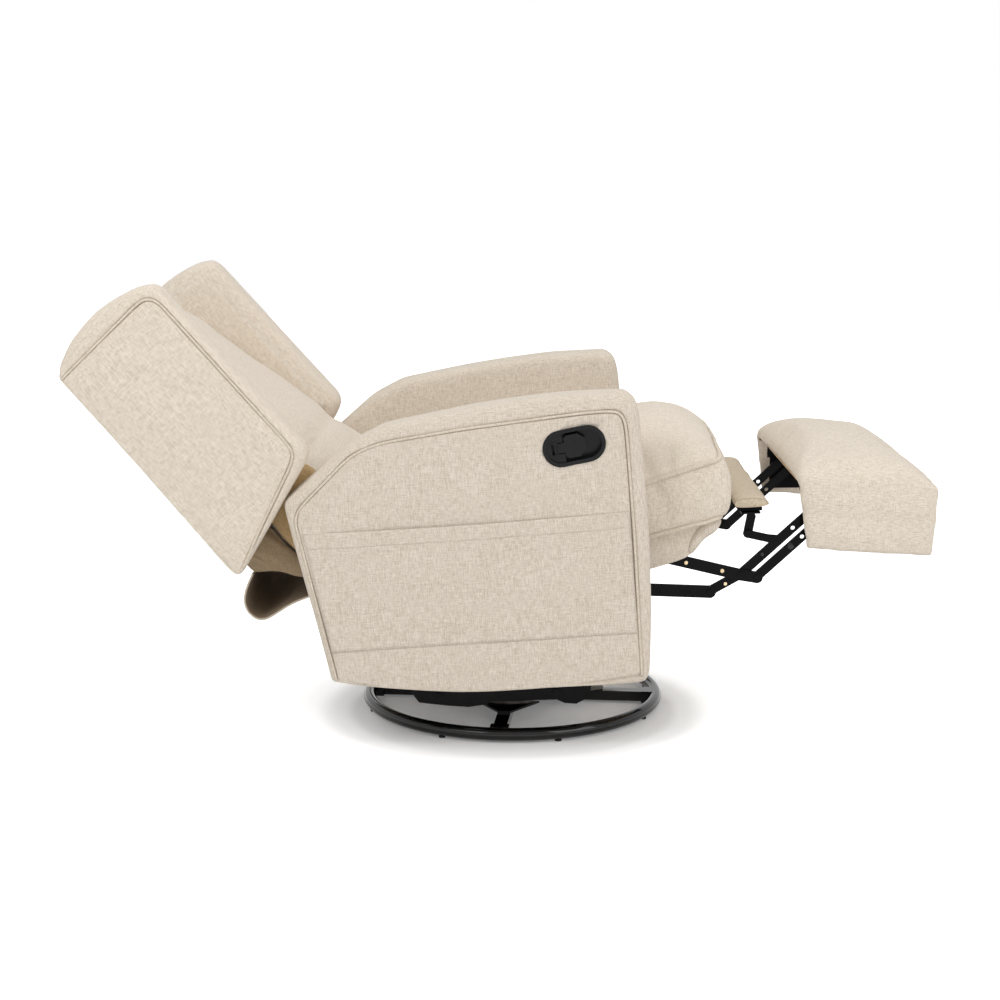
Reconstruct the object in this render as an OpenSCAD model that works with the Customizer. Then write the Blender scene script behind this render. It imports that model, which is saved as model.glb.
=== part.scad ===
/* [Overall] */
// Width over the two padded arms, mm
body_w = 780; // [700:2:900]
// Thickness of each padded arm, mm
arm_t = 96; // [80:1:116]
// Height of the body datum above the glider pan, mm
body_rise = 67; // [65:1:73]
// Forward lift of the body on its glider in the stored pose, degrees
lean = 3.8; // [3.2:0.1:4.2]
// Angle of the back behind the body's upright in the stored pose, degrees
back_lean = 38.2; // [37.8:0.1:39.4]

/* [Arms] */
// Scale of the arm outline along the chair
arm_long = 1; // [0.9:0.01:1]
// Rounding of the arm's padded edges, mm
arm_round = 18; // [8:1:30]
// Thickness of the timber arm frame, mm
timber_t = 18; // [12:1:24]
// Distance of the timber frame from the arm's inner face, mm
timber_in = 8; // [5:1:20]
// Diameter of the sewn piping, mm
piping_d = 6.4; // [4:0.2:9]
// Free depth of each side pocket, mm
pocket_gap = 4.8; // [4.4:0.1:9]
// Thickness of the pocket cloth, mm
pocket_t = 1.8; // [1:0.1:4]
// Thickness of the extra hem layer, mm
hem_t = 0.8; // [0.4:0.1:2]

/* [Base ring] */
// Outer diameter of the ring base, mm
ring_od = 610; // [520:5:740]
// Diameter of the ring tube, mm
tube_d = 25; // [22:0.5:28]
// Turn of the base under the body, degrees
base_turn = -5.3; // [-45:0.1:45]
// Height of each foot, mm
foot_h = 4; // [3:0.5:7]
// Diameter of each foot, mm
foot_d = 13; // [10:1:20]
// Number of feet under the ring
foot_n = 8; // [4:1:12]
// Width of each spoke, mm
spoke_w = 26; // [20:1:36]
// Height of each spoke, mm
spoke_h = 20; // [14:1:22]
// Diameter of the round hub plate, mm
hub_d = 215; // [205:5:320]
// Thickness of the hub plate, mm
hub_t = 4; // [3:0.5:6]

/* [Swivel bearing] */
// Diameter of the two bearing races, mm
race_d = 190; // [170:2:205]
// Thickness of each race, mm
race_t = 6; // [5.5:0.1:8]
// Gap between the races, mm
race_gap = 1; // [0.6:0.1:2]
// Diameter of each bearing ball, mm
ball_d = 9; // [7:0.5:10]
// Number of bearing balls
ball_n = 16; // [8:1:24]
// Diameter of the centre rivet, mm
king_d = 18; // [12:1:24]

/* [Glider] */
// Length of each glide link between its pins, mm
glide_len = 88; // [84:1:92]
// Width of each glide link, mm
glide_w = 22; // [18:1:24]
// Diameter of the glide pins, mm
glide_pin = 12; // [8:0.5:13]
// Thickness of the glider pan, mm
pan_t = 4; // [3:0.5:6]
// Diameter of the cross tubes, mm
cross_d = 22; // [16:1:24]

/* [Footrest linkage] */
// Thickness of the link bars and plates, mm
link_t = 4; // [3:0.5:4]
// Width of the long upper link, mm
main_w = 22; // [16:1:24]
// Width of the lower link, mm
lower_w = 24; // [16:1:25]
// Width of the two front links, mm
front_w = 18; // [12:0.5:19]
// Length of the front links' parallel part, mm
front_len = 205; // [200:1:210]
// Rise of the front links' parallel part above the body's level, degrees
front_rise = 39.2; // [38:0.2:40.4]
// Diameter of the linkage rivets, mm
rivet_d = 8; // [6:0.5:9]
// Diameter of the body pivot pins, mm
pin_d = 10; // [8:0.5:11]
// Diameter of the back pivot pins, mm
back_pin = 16; // [12:0.5:18]

/* [Seat] */
// Side gap between the seat cushion and each arm, mm
seat_gap = 7; // [4:0.5:14]
// Share of the full cushion crown
seat_crown = 1; // [0.7:0.05:1.05]
// Thickness of the seat skirt's cloth sides, mm
skirt_t = 5; // [3:0.5:6]
// Wire diameter of the seat and back springs, mm
spring_d = 4; // [3:0.2:5]

/* [Back] */
// Thickness of each wing, mm
wing_t = 84; // [70:1:92]
// Rounding of the wings' padded edges, mm
wing_round = 22; // [10:1:32]
// Thickness of the upholstered outer back, mm
shell_t = 6; // [4:0.5:10]
// Thickness of the cloth flap under the back, mm
flap_t = 2.5; // [1.5:0.1:4]

/* [Footrest pads] */
// Side gap between the footrest and the arms when it is stored, mm
rest_gap = 7; // [4:0.5:12]
// Thickness of each side flap, mm
rest_flap_t = 16; // [10:0.5:17]
// Thickness of the footrest board, mm
board_t = 12; // [9:0.5:15]
// Share of the full footrest crown
rest_crown = 1; // [0.7:0.05:1.1]

/* [Release handle] */
// Length of the handle cup, mm
cup_len = 115; // [100:1:130]
// Width of the handle cup, mm
cup_w = 67; // [60:1:76]
// Depth of the handle cup, mm
cup_depth = 26; // [22:1:40]
// Wall of the handle cup, mm
cup_wall = 3; // [2:0.5:4]
// Turn of the handle cup on the arm, degrees
cup_turn = 8; // [0:1:20]
// Thickness of the paddle, mm
paddle_t = 4; // [3:0.5:5]
// Diameter of the release cable, mm
cable_d = 5; // [3:0.5:7]

/* [Hidden] */
$fn = 64;

half_w = body_w / 2;
// Puts the middle of the chair's length over the origin
plan_x = 6.24;
in_y = half_w - arm_t;
run = 0.05;
side_gap = 1;
thin = 0.5;
knuckle = 0.35;
cable_off = cable_d / 2 + knuckle;
big = 2000;
// Steps round a padded rim, degrees
rim_turns = [10, 35, 62, 90];

// Planes of the side mechanism, each from the inner to the outer face
plate_off = 32;
plate_y = in_y - plate_off;
plate_out = plate_y + link_t;
outer_gap = 4;
outer_y = plate_y - outer_gap - link_t;
inner_y = outer_y - side_gap - link_t;
flip_gap = 2;
flip_y = inner_y - flip_gap - link_t;
glider_y = outer_y - outer_gap - link_t;

// Floor-frame point in the body frame
function to_body(p) = [
  p[0] * cos(lean) + (p[1] - body_z) * sin(lean),
  (p[1] - body_z) * cos(lean) - p[0] * sin(lean)
];

// Pivots of the side mechanism in the body's level frame, X and Z
piv_back = [-137, 199.5];
piv_seat = [216, 234.2];
piv_main = [241.6, 242.5];
main_to_c = [202.4, -61.5];
c_to_p2 = [30.6, -7.1];
c_to_p1 = [-60.1, -29.1];
main_knee = [100, -30];
lower_knee = [84.9, -49.7];
piv_c = piv_main + main_to_c;
piv_p2 = piv_c + c_to_p2;
piv_p1 = piv_c + c_to_p1;
piv_lower = piv_main + c_to_p1;
front_dir = [front_len * cos(front_rise), front_len * sin(front_rise)];
piv_q1 = piv_c + front_dir;
piv_q2 = piv_p2 + front_dir;
piv_flip = [462.1, 257.9];

// Base heights
foot_seat = 0.5;
tube_r = tube_d / 2;
ring_r = ring_od / 2 - tube_r;
ring_z = foot_h + tube_r - foot_seat;
spoke_z = ring_z - spoke_h / 2;
hub_z = spoke_z + spoke_h;
race_z = hub_z + hub_t;
race_up_z = race_z + race_t + race_gap;
pan_z = race_up_z + race_t;
body_z = pan_z + body_rise;
ball_z = race_z + race_t + race_gap / 2;
ball_track = 75;
spoke_n = 4;
flare_in = 110;
flare_out = 186;
flare_w = 128;
end_len = 16;
end_w = 36;
end_h = 24;
king_head = 15;
king_head_h = 3.6;
king_gap = 0.4;
pan_hole = 20;

// Glide pins in the floor frame, X and Z
pin_low_x = [-142, 84];
pin_low_h = [38, 47];
glide_low_rear = [pin_low_x[0], pan_z + pin_low_h[0]];
glide_low_front = [pin_low_x[1], pan_z + pin_low_h[1]];
glide_rise = [0, glide_len];
glide_up_rear = glide_low_rear + glide_rise;
glide_up_front = glide_low_front + glide_rise;

// Glider side, X and height over the pan: its ears end a lug over the upper pins
glider_x = [-165, 103];
lug_top = 14;
ear_cut = 8;
ear_front_w = 32;
ear_rear_w = 37;
saddle_h = [97, 88];
saddle_x = [52, -110];
ear_z = [for (h = pin_low_h) h + glide_len + lug_top];
side_low = [22, 30];
glider_pts = [
  [glider_x[0], side_low[0]], [glider_x[1], side_low[1]], [glider_x[1], ear_z[1] - ear_cut], [glider_x[1] - ear_cut, ear_z[1]],
  [glider_x[1] - ear_front_w, ear_z[1]], [glider_x[1] - ear_front_w - ear_cut, ear_z[1] - ear_cut],
  [saddle_x[0], saddle_h[0]], [saddle_x[1], saddle_h[1]],
  [glider_x[0] + ear_rear_w + ear_cut, ear_z[0] - ear_cut], [glider_x[0] + ear_rear_w, ear_z[0]],
  [glider_x[0] + ear_cut, ear_z[0]], [glider_x[0], ear_z[0] - ear_cut]
];
glider_tube_x = [-110, 60];
glider_tube_h = 47;
glider_tube_r = 9;

// Glider pan: its flanges stand up round the cross tubes
pan_half = 100;
flange_wall = 7;
flange_r = glider_tube_r + flange_wall;
flange_low = 20;
pan_x = [glider_tube_x[0] - flange_r, glider_tube_x[1] + flange_r];
flange_top = glider_tube_h + glider_tube_r + flange_wall / 2;
pan_flange_pts = [
  [pan_x[0], 0], [pan_x[1], 0], [pan_x[1], flange_top], [pan_x[1] - flange_r * 2, flange_top],
  [pan_x[1] - flange_r * 3, flange_low], [pan_x[0] + flange_r * 3, flange_low],
  [pan_x[0] + flange_r * 2, flange_top], [pan_x[0], flange_top]
];

// Outline of the body plate, body frame
plate_pts = [
  [-160, 196], [-154, 211], [-137, 218.5], [-123, 212], [-114, 192], [-88, 176], [0, 192], [100, 212],
  [180, 234], [204, 243], [218, 244.5], [230, 250], [242, 253.5], [252, 248], [253, 234], [240, 222],
  [205, 190], [172, 110], [160, 40], [151, -13], [141, -28], [134, -42], [118, -49], [96, -46],
  [72, -33], [50, -14], [-30, -14], [-51, -39], [-88, -42], [-126, -37], [-182, -27], [-196, -5],
  [-208, 20], [-207, 50], [-180, 150]
];
body_tube_pts = [[136.9, -21.1], [-194.6, 28]];
deck_tube = [-136, 146];
deck_tube_r = 7;
deck_pts = [[-329.7, 154], [-136, 153.2], [-136, 154.8], [-329.7, 155.6]];
arm_bracket_x = [-70, 80];
arm_bracket_l = 70;
arm_bracket_z = 60;
arm_bracket_h = 70;
arm_bracket_wall = 3;

// Arm outline, body frame
arm_pts = [
  [-332, 59], [-300, 50], [-208, 34], [-79, 20], [100, 18], [232, 17], [246, 20], [254, 32],
  [264, 130], [270, 273], [262, 525], [256, 545], [240, 558], [120, 561], [-40, 549], [-203, 525],
  [-268, 495], [-388, 399], [-391, 389], [-385, 356]
];
arm_mid = [-62, 288];
arm_half = [330, 271];
frame_out_share = 0.84;
frame_in_share = 0.68;
pipe_pts = [
  [-320, 50], [-336, 139], [-369, 337], [-374, 362], [-366, 386], [-264, 478], [-213, 497], [-63, 513],
  [154, 528], [212, 529], [229, 522], [236, 500], [240, 300], [240, 34]
];
pocket_pts = [[-362, 340], [-326, 115], [235, 115], [233, 343]];
pocket_in = [[-311, 350], [-284, 131], [200, 131], [178, 350]];
hem_h = 28;
hem_pts = [[-362, 340], [-357, 340 - hem_h], [233, 343 - hem_h], [233, 343]];

// Rear rail and hanging flap, body frame
rail_pts = [[-348, 150], [-330, 150], [-330, 214], [-348, 214]];
flap_pts = [
  [-476, 246], [-491, 219], [-497, 192], [-490, 168], [-471, 155], [-447, 163], [-405, 187],
  [-349.8, 203.4]
];
flap_side = 24;

// Handle cup, body frame
cup_at = [140.4, 469.7];
cup_lip = 4;
cup_lip_t = 3;
cup_floor = 3;
hinge_u = -34;
hinge_in = 5;
hinge_pin_r = 2;
barrel_r = 4;
barrel_half = 9;
lug_u = 5;
lug_gap = 0.3;
lug_t = 4;
neck_w = 18;
paddle_pts = [[-17, -16], [-12, -21], [8, -21], [21, -11], [22, 10], [9, 21], [-12, 21], [-17, 16]];
face_in = 2.5;
face_t = 2.5;
face_u = -19;
slot_gap = 1.5;
slot_u = -41;
cable_out = [102, 452];
cable_low = [118, 205];
cable_deep = 50;
cable_foot = [160, 196];

// Seat, body frame
seat_frame_pts = [[347, 247.5], [349, 283.2], [-98, 193.3], [-100, 152]];
seat_win_pts = [[312, 230], [309, 280], [-62, 200], [-60, 140]];
seat_rail_gap = 13;
seat_rail_w = 40;
seat_rail_half = inner_y - seat_rail_gap;
seat_win_half = seat_rail_half - seat_rail_w;
seat_hinge_pts = [[200, 223], [230, 225], [230, 246], [224, 249], [200, 243]];
spring_from = [-58.8, 178];
spring_to = [307.8, 258];
spring_n = 5;
spring_pitch = 78;
spring_waves = 10;
spring_amp = 12;
cush_side = [
  [416, 297], [427, 316], [430, 345], [428, 375], [423, 400], [413, 411], [380, 403], [300, 382],
  [140, 339], [0, 301], [-85, 279], [-106, 270], [-108, 232], [-101, 193]
];
cush_mid = [
  [420, 297.8], [434, 320], [438, 350], [434, 390], [418, 428], [388, 460], [340, 476], [272, 474],
  [140, 442], [0, 400], [-85, 352], [-112, 322], [-118, 240], [-101, 193]
];
cush_y = [0, 0.42, 0.66, 0.83, 0.95, 1];
crown_pow = 2.4;
skirt_pts = [
  [417, 296.8], [403, 269], [378, 258], [360, 236], [354, 229.5], [344, 233], [352, 257], [374, 288.2]
];
skirt_side_pts = [[352, 231], [372, 287.7], [286, 270.4], [266, 266.4], [263, 206]];
skirt_y = plate_y + thin;
skirt_out = skirt_y + skirt_t;

// Back, back frame: X forward, Z along the back, origin at its pivot
shell_pts = [
  [-231, 250], [-226, 246], [-190, 217], [-174, 182], [-62, 112], [-63, 124], [-151, 217], [-151, 744],
  [-226, 744]
];
shell_in_pts = [
  [-225, 256], [-220, 250], [-185, 222], [-170, 188], [-66, 123], [-151, 215], [-151, 738], [-221, 738]
];
shell_half = in_y - seat_gap;
shell_wide = half_w - wing_t;
shell_top_pts = [[-231, 300], [-151, 300], [-151, 744], [-226, 744]];
back_frame_pts = [[-220.5, 252], [-185, 224], [-160, 224], [-160, 730], [-218, 730]];
back_win_pts = [[-230, 300], [-150, 300], [-150, 670], [-230, 670]];
back_win_half = 196;
back_spring_half = 193.5;
bracket_pts = [[0, 0], [-78, 62], [-112, 138], [-182, 232], [-190, 290]];
bracket_w = 30;
bracket_lug = 18;
pad_back = [
  [-150, 742], [-150, 217], [-62, 126], [-24, 88], [39, 88], [42, 120], [38, 170], [35, 230], [28, 290],
  [14, 350], [-6, 430], [-25, 510], [-43, 590], [-58, 660], [-72, 715], [-90, 736], [-114, 748]
];
pad_lobe = [[-56, 128], [-42, 72], [6, 50], [32, 58], [40, 84], [42, 120], [36, 160]];
pad_back_side = [
  [-150, 736], [-150, 217], [-66, 132], [-30, 94], [20, 94], [20, 124], [14, 172], [2, 230], [-10, 290],
  [-23, 350], [-41, 430], [-58, 510], [-74, 590], [-87, 660], [-98, 706], [-106, 726], [-118, 734]
];
pad_lobe_side = [[-60, 132], [-50, 84], [-2, 64], [14, 70], [20, 90], [20, 124], [14, 160]];
pad_wide_side = [
  [-150, 736], [-150, 356], [-40, 356], [-32, 372], [-43, 430], [-60, 510], [-76, 590], [-89, 660],
  [-100, 706], [-108, 726], [-120, 734]
];
pad_wide_mid = [
  [-150, 742], [-150, 356], [4, 356], [8, 372], [-8, 430], [-26, 510], [-44, 590], [-59, 660],
  [-73, 715], [-91, 736], [-115, 748]
];
pad_y = [0, 0.5, 0.78, 0.93, 1];
wing_pts = [
  [-236, 286], [-234, 275], [-226, 269], [-79, 316], [0, 341], [14, 350], [21, 366], [21, 742],
  [15, 760], [-8, 774], [-60, 788], [-106, 792], [-160, 784], [-205, 766], [-221, 750]
];
wing_mid = [-107, 530];
wing_half = [128, 262];
wing_pipe_pts = [
  [-214, 745], [-24, 752], [-8, 749], [3, 739], [7, 722], [3, 382], [-4, 366], [-20, 356], [-86, 330],
  [-143, 308], [-194, 284], [-214, 277]
];
back_spring_z = [330, 410, 490, 570, 650];
back_spring_x = -165;
back_spring_amp = 14;

// Footrest, frame with its origin at the near rear seam, X forward along the seam
rest_at = [562, 354];
rest_dip = 7.5;
rest_mid = [
  [-2, 0], [-15, 12], [-16, 32], [-5, 52], [28, 65], [120, 70], [205, 66], [242, 54], [262, 32],
  [266, 12], [261, 0]
];
rest_side = [
  [0, 0], [-4, 3], [-5, 6], [-2, 9], [14, 11], [120, 12], [205, 12], [244, 11], [260, 8], [262, 4],
  [261, 0]
];
rest_y = [0, 0.45, 0.68, 0.83, 0.925, 0.98, 1];
rest_pow = 4;
rest_w = (in_y - rest_gap) * 2;
rest_flap_pts = [[2, -0.4], [23, -127], [26, -128], [258, -126], [261, -123], [261, -0.4]];
rest_flap_mid = [140, -60];
rest_flap_half = [118, 64];
rest_flap_round = 7;
board_x = [8, 253];
board_half = inner_y + link_t + side_gap / 2;
flange_x = [26, 196];
flange_t = 3;
flange_in = 34;

// Small front pad, body frame
flip_pts = [
  [441, 317], [446, 323], [470, 325], [496, 322], [506, 314.5], [506, 309.5], [492, 305.4],
  [449, 306.5], [442, 310]
];
flip_round = 5;
flip_mid = [473.5, 315];
flip_half = [32.5, 10];
flip_board_pts = [[448, 306.1], [493, 305], [493, 298], [448, 299]];
flip_pad_half = flip_y - side_gap;
flip_upright = [[470, 290], [462.1, 257.9]];
flip_flange_pts = [[452, 298.5], [488, 297.5], [488, 294.5], [452, 295.5]];
flip_flange_in = 30;
flip_w = 17;
flip_arm = [[522, 244], [500, 247], [462.1, 257.9]];
flip_arm_w = 15;

// Extra rivets and holes of the links, body frame
main_dots = [[341.7, 211.5], [409.4, 191.2]];
front_dots = [[414.8, 164.5], [487, 216.8]];
carry_dots = [[541.4, 229.6]];
front_hole = [546.7, 264.3];
carry_hole = [563.6, 246.2];
hole_r = 4;
dot_r = 3.5;
dot_h = 1.2;
head_share = 1.55;
head_t = 2.3;
inner_head_t = 1.2;
head_gap = 0.3;
glide_end_y = outer_y + link_t + head_gap + head_t;
bolt_head_t = 3;

// Colours of paint, metal, timber and cloth
paint_c = [0.05, 0.05, 0.055];
frame_c = [0.06, 0.06, 0.065];
link_c = [0.08, 0.08, 0.085];
rubber_c = [0.08, 0.08, 0.08];
race_c = [0.55, 0.56, 0.58];
ball_c = [0.75, 0.75, 0.77];
steel_c = [0.6, 0.6, 0.62];
bolt_c = [0.62, 0.58, 0.48];
rivet_c = [0.72, 0.63, 0.48];
linen_c = [0.86, 0.81, 0.73];
skirt_c = [0.84, 0.79, 0.71];
pocket_c = [0.83, 0.78, 0.69];
piping_c = [0.8, 0.74, 0.65];
flap_c = [0.8, 0.75, 0.66];
shell_c = [0.78, 0.73, 0.64];
timber_c = [0.72, 0.55, 0.36];
wire_c = [0.5, 0.5, 0.52];
cup_c = [0.03, 0.03, 0.03];
paddle_c = [0.04, 0.04, 0.04];
dust_c = [0.1, 0.1, 0.1];
cable_c = [0.05, 0.05, 0.05];

module floor_place() {
  translate([plan_x, 0, 0])
    children();
}

module body_place() {
  translate([plan_x, 0, body_z])
    rotate([0, -lean, 0])
      children();
}

module back_place() {
  body_place()
    translate([piv_back[0], 0, piv_back[1]])
      rotate([0, -back_lean, 0])
        children();
}

module rest_place() {
  body_place()
    translate([rest_at[0], 0, rest_at[1]])
      rotate([0, rest_dip, 0])
        children();
}

module left_side() {
  children();
}

module right_side() {
  mirror([0, 1, 0])
    children();
}

module both_sides() {
  left_side() children();
  right_side() children();
}

// Solid between two Y values with an outline in X and Z
module slab(y0, y1) {
  translate([0, y1, 0])
    rotate([90, 0, 0])
      linear_extrude(height = y1 - y0)
        children();
}

module round_pin(p, r, y0, y1) {
  slab(y0, y1)
    translate(p)
      circle(r = r);
}

module bar_2d(pts, w) {
  for (i = [0 : len(pts) - 2]) {
    translate(pts[i])
      rotate(atan2(pts[i + 1][1] - pts[i][1], pts[i + 1][0] - pts[i][0]))
        translate([0, -w / 2])
          square([norm(pts[i + 1] - pts[i]), w]);
  }
  for (p = pts) {
    translate(p)
      circle(d = w + thin);
  }
}

// Round wire through a list of 3-D points
module wire(pts, r) {
  for (i = [0 : len(pts) - 2]) {
    v = pts[i + 1] - pts[i];
    translate(pts[i])
      rotate([0, acos(v[2] / norm(v)), atan2(v[1], v[0])])
        cylinder(r = r, h = norm(v));
  }
  for (p = pts) {
    translate(p)
      sphere(r = r + knuckle);
  }
}

// Outline drawn in towards its middle by a distance
function inset(pts, mid, half, d) = [
  for (p = pts) [
    mid[0] + (p[0] - mid[0]) * (1 - d / half[0]),
    mid[1] + (p[1] - mid[1]) * (1 - d / half[1])
  ]
];

function blend(a, b, f) = [for (i = [0 : len(a) - 1]) a[i] + (b[i] - a[i]) * f];

// Padded slab with rounded rims
module pillow_slab(pts, mid, half, y0, y1, r) {
  hull() {
    for (a = rim_turns) {
      slab(y0 + r * pow(1 - cos(a), 2), y1 - r * (1 - cos(a)))
        polygon(inset(pts, mid, half, r * (1 - sin(a))));
    }
  }
}

// Crowned pad whose outline goes from its side form to its middle form
module crowned(side_pts, mid_pts, half, steps, power, share) {
  hull() {
    for (f = steps) {
      for (s = [-1, 1]) {
        translate([0, s * (f * half - thin / 2), 0])
          slab(-thin / 2, thin / 2)
            polygon(blend(side_pts, mid_pts, (1 - pow(f, power)) * share));
      }
    }
  }
}

module base_torus() {
  translate([0, 0, ring_z])
    rotate_extrude()
      translate([ring_r, 0])
        circle(r = tube_r);
}

module base_ring() {
  color(paint_c)
    floor_place()
      base_torus();
}

module base_cross() {
  color(paint_c)
    floor_place()
      rotate([0, 0, base_turn])
        difference() {
          union() {
            translate([0, 0, hub_z])
              linear_extrude(height = hub_t) {
                circle(d = hub_d);
                for (i = [0 : spoke_n - 1]) {
                  rotate(i * 360 / spoke_n)
                    polygon([
                      [flare_in, -flare_w / 2], [flare_out, -spoke_w / 2],
                      [flare_out, spoke_w / 2], [flare_in, flare_w / 2]
                    ]);
                }
              }
            for (i = [0 : spoke_n - 1]) {
              rotate([0, 0, i * 360 / spoke_n])
                translate([0, -spoke_w / 2, spoke_z])
                  cube([ring_r, spoke_w, spoke_h]);
              rotate([0, 0, i * 360 / spoke_n])
                translate([ring_r - tube_r - end_len, -end_w / 2, ring_z - end_h / 2])
                  cube([end_len + tube_r, end_w, end_h]);
            }
          }
          base_torus();
          translate([0, 0, spoke_z])
            cylinder(d = king_d, h = big);
        }
}

module base_feet() {
  color(rubber_c)
    floor_place()
      rotate([0, 0, base_turn])
        for (i = [0 : foot_n - 1]) {
          difference() {
            rotate([0, 0, (i + 1 / 2) * 360 / foot_n])
              translate([ring_r, 0, 0])
                cylinder(d = foot_d, h = foot_h + foot_seat * 2);
            base_torus();
          }
        }
}

module ball_groove() {
  translate([0, 0, ball_z])
    rotate_extrude()
      translate([ball_track, 0])
        circle(r = ball_d / 2 + run);
}

module swivel_race_lower() {
  color(race_c)
    floor_place()
      difference() {
        translate([0, 0, race_z])
          cylinder(d = race_d, h = race_t);
        ball_groove();
        translate([0, 0, race_z])
          cylinder(d = king_d, h = race_t);
      }
}

module swivel_race_upper() {
  color(race_c)
    floor_place()
      difference() {
        translate([0, 0, race_up_z])
          cylinder(d = race_d, h = race_t);
        ball_groove();
        translate([0, 0, race_up_z])
          cylinder(r = king_d / 2 + run, h = race_t);
      }
}

module swivel_balls() {
  color(ball_c)
    floor_place()
      for (i = [0 : ball_n - 1]) {
        rotate([0, 0, i * 360 / ball_n])
          translate([ball_track, 0, ball_z])
            sphere(d = ball_d);
      }
}

module swivel_rivet() {
  color(steel_c)
    floor_place() {
      translate([0, 0, spoke_z])
        cylinder(d = king_d, h = pan_z + king_gap - spoke_z);
      translate([0, 0, spoke_z - king_head_h])
        cylinder(r = king_head, h = king_head_h);
      translate([0, 0, pan_z + king_gap])
        cylinder(r = king_head, h = king_head_h);
    }
}

module glider_pan() {
  color(frame_c)
    floor_place()
      difference() {
        union() {
          translate([pan_x[0], -pan_half, pan_z])
            cube([pan_x[1] - pan_x[0], pan_half * 2, pan_t]);
          both_sides()
            slab(pan_half - pan_t, pan_half)
              translate([0, pan_z])
                polygon(pan_flange_pts);
        }
        translate([0, 0, pan_z])
          cylinder(r = pan_hole, h = pan_t);
        for (x = glider_tube_x) {
          round_pin([x, pan_z + glider_tube_h], glider_tube_r, -pan_half, pan_half);
        }
      }
}

module glider_side() {
  color(frame_c)
    floor_place()
      difference() {
        slab(glider_y, glider_y + link_t)
          translate([0, pan_z])
            polygon(glider_pts);
        round_pin(glide_up_rear, glide_pin / 2, glider_y, glider_y + link_t);
        round_pin(glide_up_front, glide_pin / 2, glider_y, glider_y + link_t);
      }
}

module glider_side_left() {
  left_side() glider_side();
}

module glider_side_right() {
  right_side() glider_side();
}

module glider_tubes() {
  color(frame_c)
    floor_place()
      for (x = glider_tube_x) {
        round_pin([x, pan_z + glider_tube_h], glider_tube_r, -glider_y, glider_y);
      }
}

module glide_pins_upper() {
  color(bolt_c)
    floor_place()
      both_sides()
        for (p = [glide_up_rear, glide_up_front]) {
          round_pin(p, glide_pin / 2, glider_y, outer_y + link_t + head_gap);
          round_pin(p, glide_pin / 2 * head_share, glider_y - bolt_head_t, glider_y);
          round_pin(p, glide_pin / 2 * head_share, glider_y + link_t, outer_y - head_gap);
          round_pin(p, glide_pin / 2 * head_share, outer_y + link_t + head_gap, glide_end_y);
        }
}

module glide_link(low) {
  color(link_c)
    floor_place()
      both_sides()
        difference() {
          slab(outer_y, outer_y + link_t)
            bar_2d([low, low + glide_rise], glide_w);
          round_pin(low, glide_pin / 2 + run, outer_y, outer_y + link_t);
          round_pin(low + glide_rise, glide_pin / 2 + run, outer_y, outer_y + link_t);
        }
}

module glide_links_front() {
  glide_link(glide_low_front);
}

module glide_links_rear() {
  glide_link(glide_low_rear);
}

module body_plate() {
  color(frame_c)
    body_place()
      difference() {
        slab(plate_y, plate_out)
          polygon(plate_pts);
        round_pin(to_body(glide_low_rear), glide_pin / 2, plate_y, plate_out);
        round_pin(to_body(glide_low_front), glide_pin / 2, plate_y, plate_out);
        round_pin(piv_back, back_pin / 2, plate_y, plate_out);
        round_pin(piv_seat, pin_d / 2, plate_y, plate_out);
        round_pin(piv_main, pin_d / 2, plate_y, plate_out);
        round_pin(piv_lower, pin_d / 2, plate_y, plate_out);
      }
}

module body_plate_left() {
  left_side() body_plate();
}

module body_plate_right() {
  right_side() body_plate();
}

module body_tubes() {
  color(frame_c)
    body_place() {
      for (p = body_tube_pts) {
        round_pin(p, cross_d / 2, -plate_y, plate_y);
      }
      round_pin(deck_tube, deck_tube_r, -plate_y, plate_y);
    }
}

// Bolt held in the body plate, turning in the part beside it
module body_bolt(p, d) {
  round_pin(p, d / 2, outer_y - head_gap, plate_out);
  round_pin(p, d / 2 * head_share, outer_y - head_gap - head_t, outer_y - head_gap);
  round_pin(p, d / 2 * head_share, outer_y + link_t + head_gap, plate_y);
  round_pin(p, d / 2 * head_share, plate_out, plate_out + bolt_head_t);
}

module pivot_bolts() {
  color(bolt_c)
    body_place()
      both_sides() {
        body_bolt(to_body(glide_low_rear), glide_pin);
        body_bolt(to_body(glide_low_front), glide_pin);
        body_bolt(piv_back, back_pin);
        body_bolt(piv_main, pin_d);
        body_bolt(piv_lower, pin_d);
        round_pin(piv_seat, pin_d / 2, seat_rail_half + link_t, plate_out);
        round_pin(piv_seat, pin_d / 2 * head_share, inner_y + link_t + head_gap, plate_y);
        round_pin(piv_seat, pin_d / 2 * head_share, plate_out, plate_out + bolt_head_t);
      }
}

module deck_cloth() {
  color(dust_c)
    body_place()
      slab(-glider_y, glider_y)
        polygon(deck_pts);
}

module arm_brackets() {
  color(frame_c)
    body_place()
      both_sides()
        for (x = arm_bracket_x) {
          difference() {
            translate([x, plate_out, arm_bracket_z])
              cube([arm_bracket_l, in_y - plate_out, arm_bracket_h]);
            translate([x - thin, plate_out + arm_bracket_wall, arm_bracket_z + arm_bracket_wall])
              cube([arm_bracket_l + thin * 2, in_y - plate_out - arm_bracket_wall * 2, arm_bracket_h]);
          }
        }
}

function arm_outline() = [for (p = arm_pts) [p[0] * arm_long, p[1]]];

module arm_frame_solid() {
  slab(in_y + timber_in, in_y + timber_in + timber_t)
    difference() {
      polygon(inset(arm_outline(), arm_mid, arm_half, arm_half[0] * (1 - frame_out_share)));
      polygon(inset(arm_outline(), arm_mid, arm_half, arm_half[0] * (1 - frame_in_share)));
    }
}

module arm_solid() {
  pillow_slab(arm_outline(), arm_mid, arm_half, in_y, half_w, arm_round);
}

module arm_left() {
  color(linen_c)
    body_place()
      left_side()
        difference() {
          arm_solid();
          arm_frame_solid();
        }
}

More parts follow.
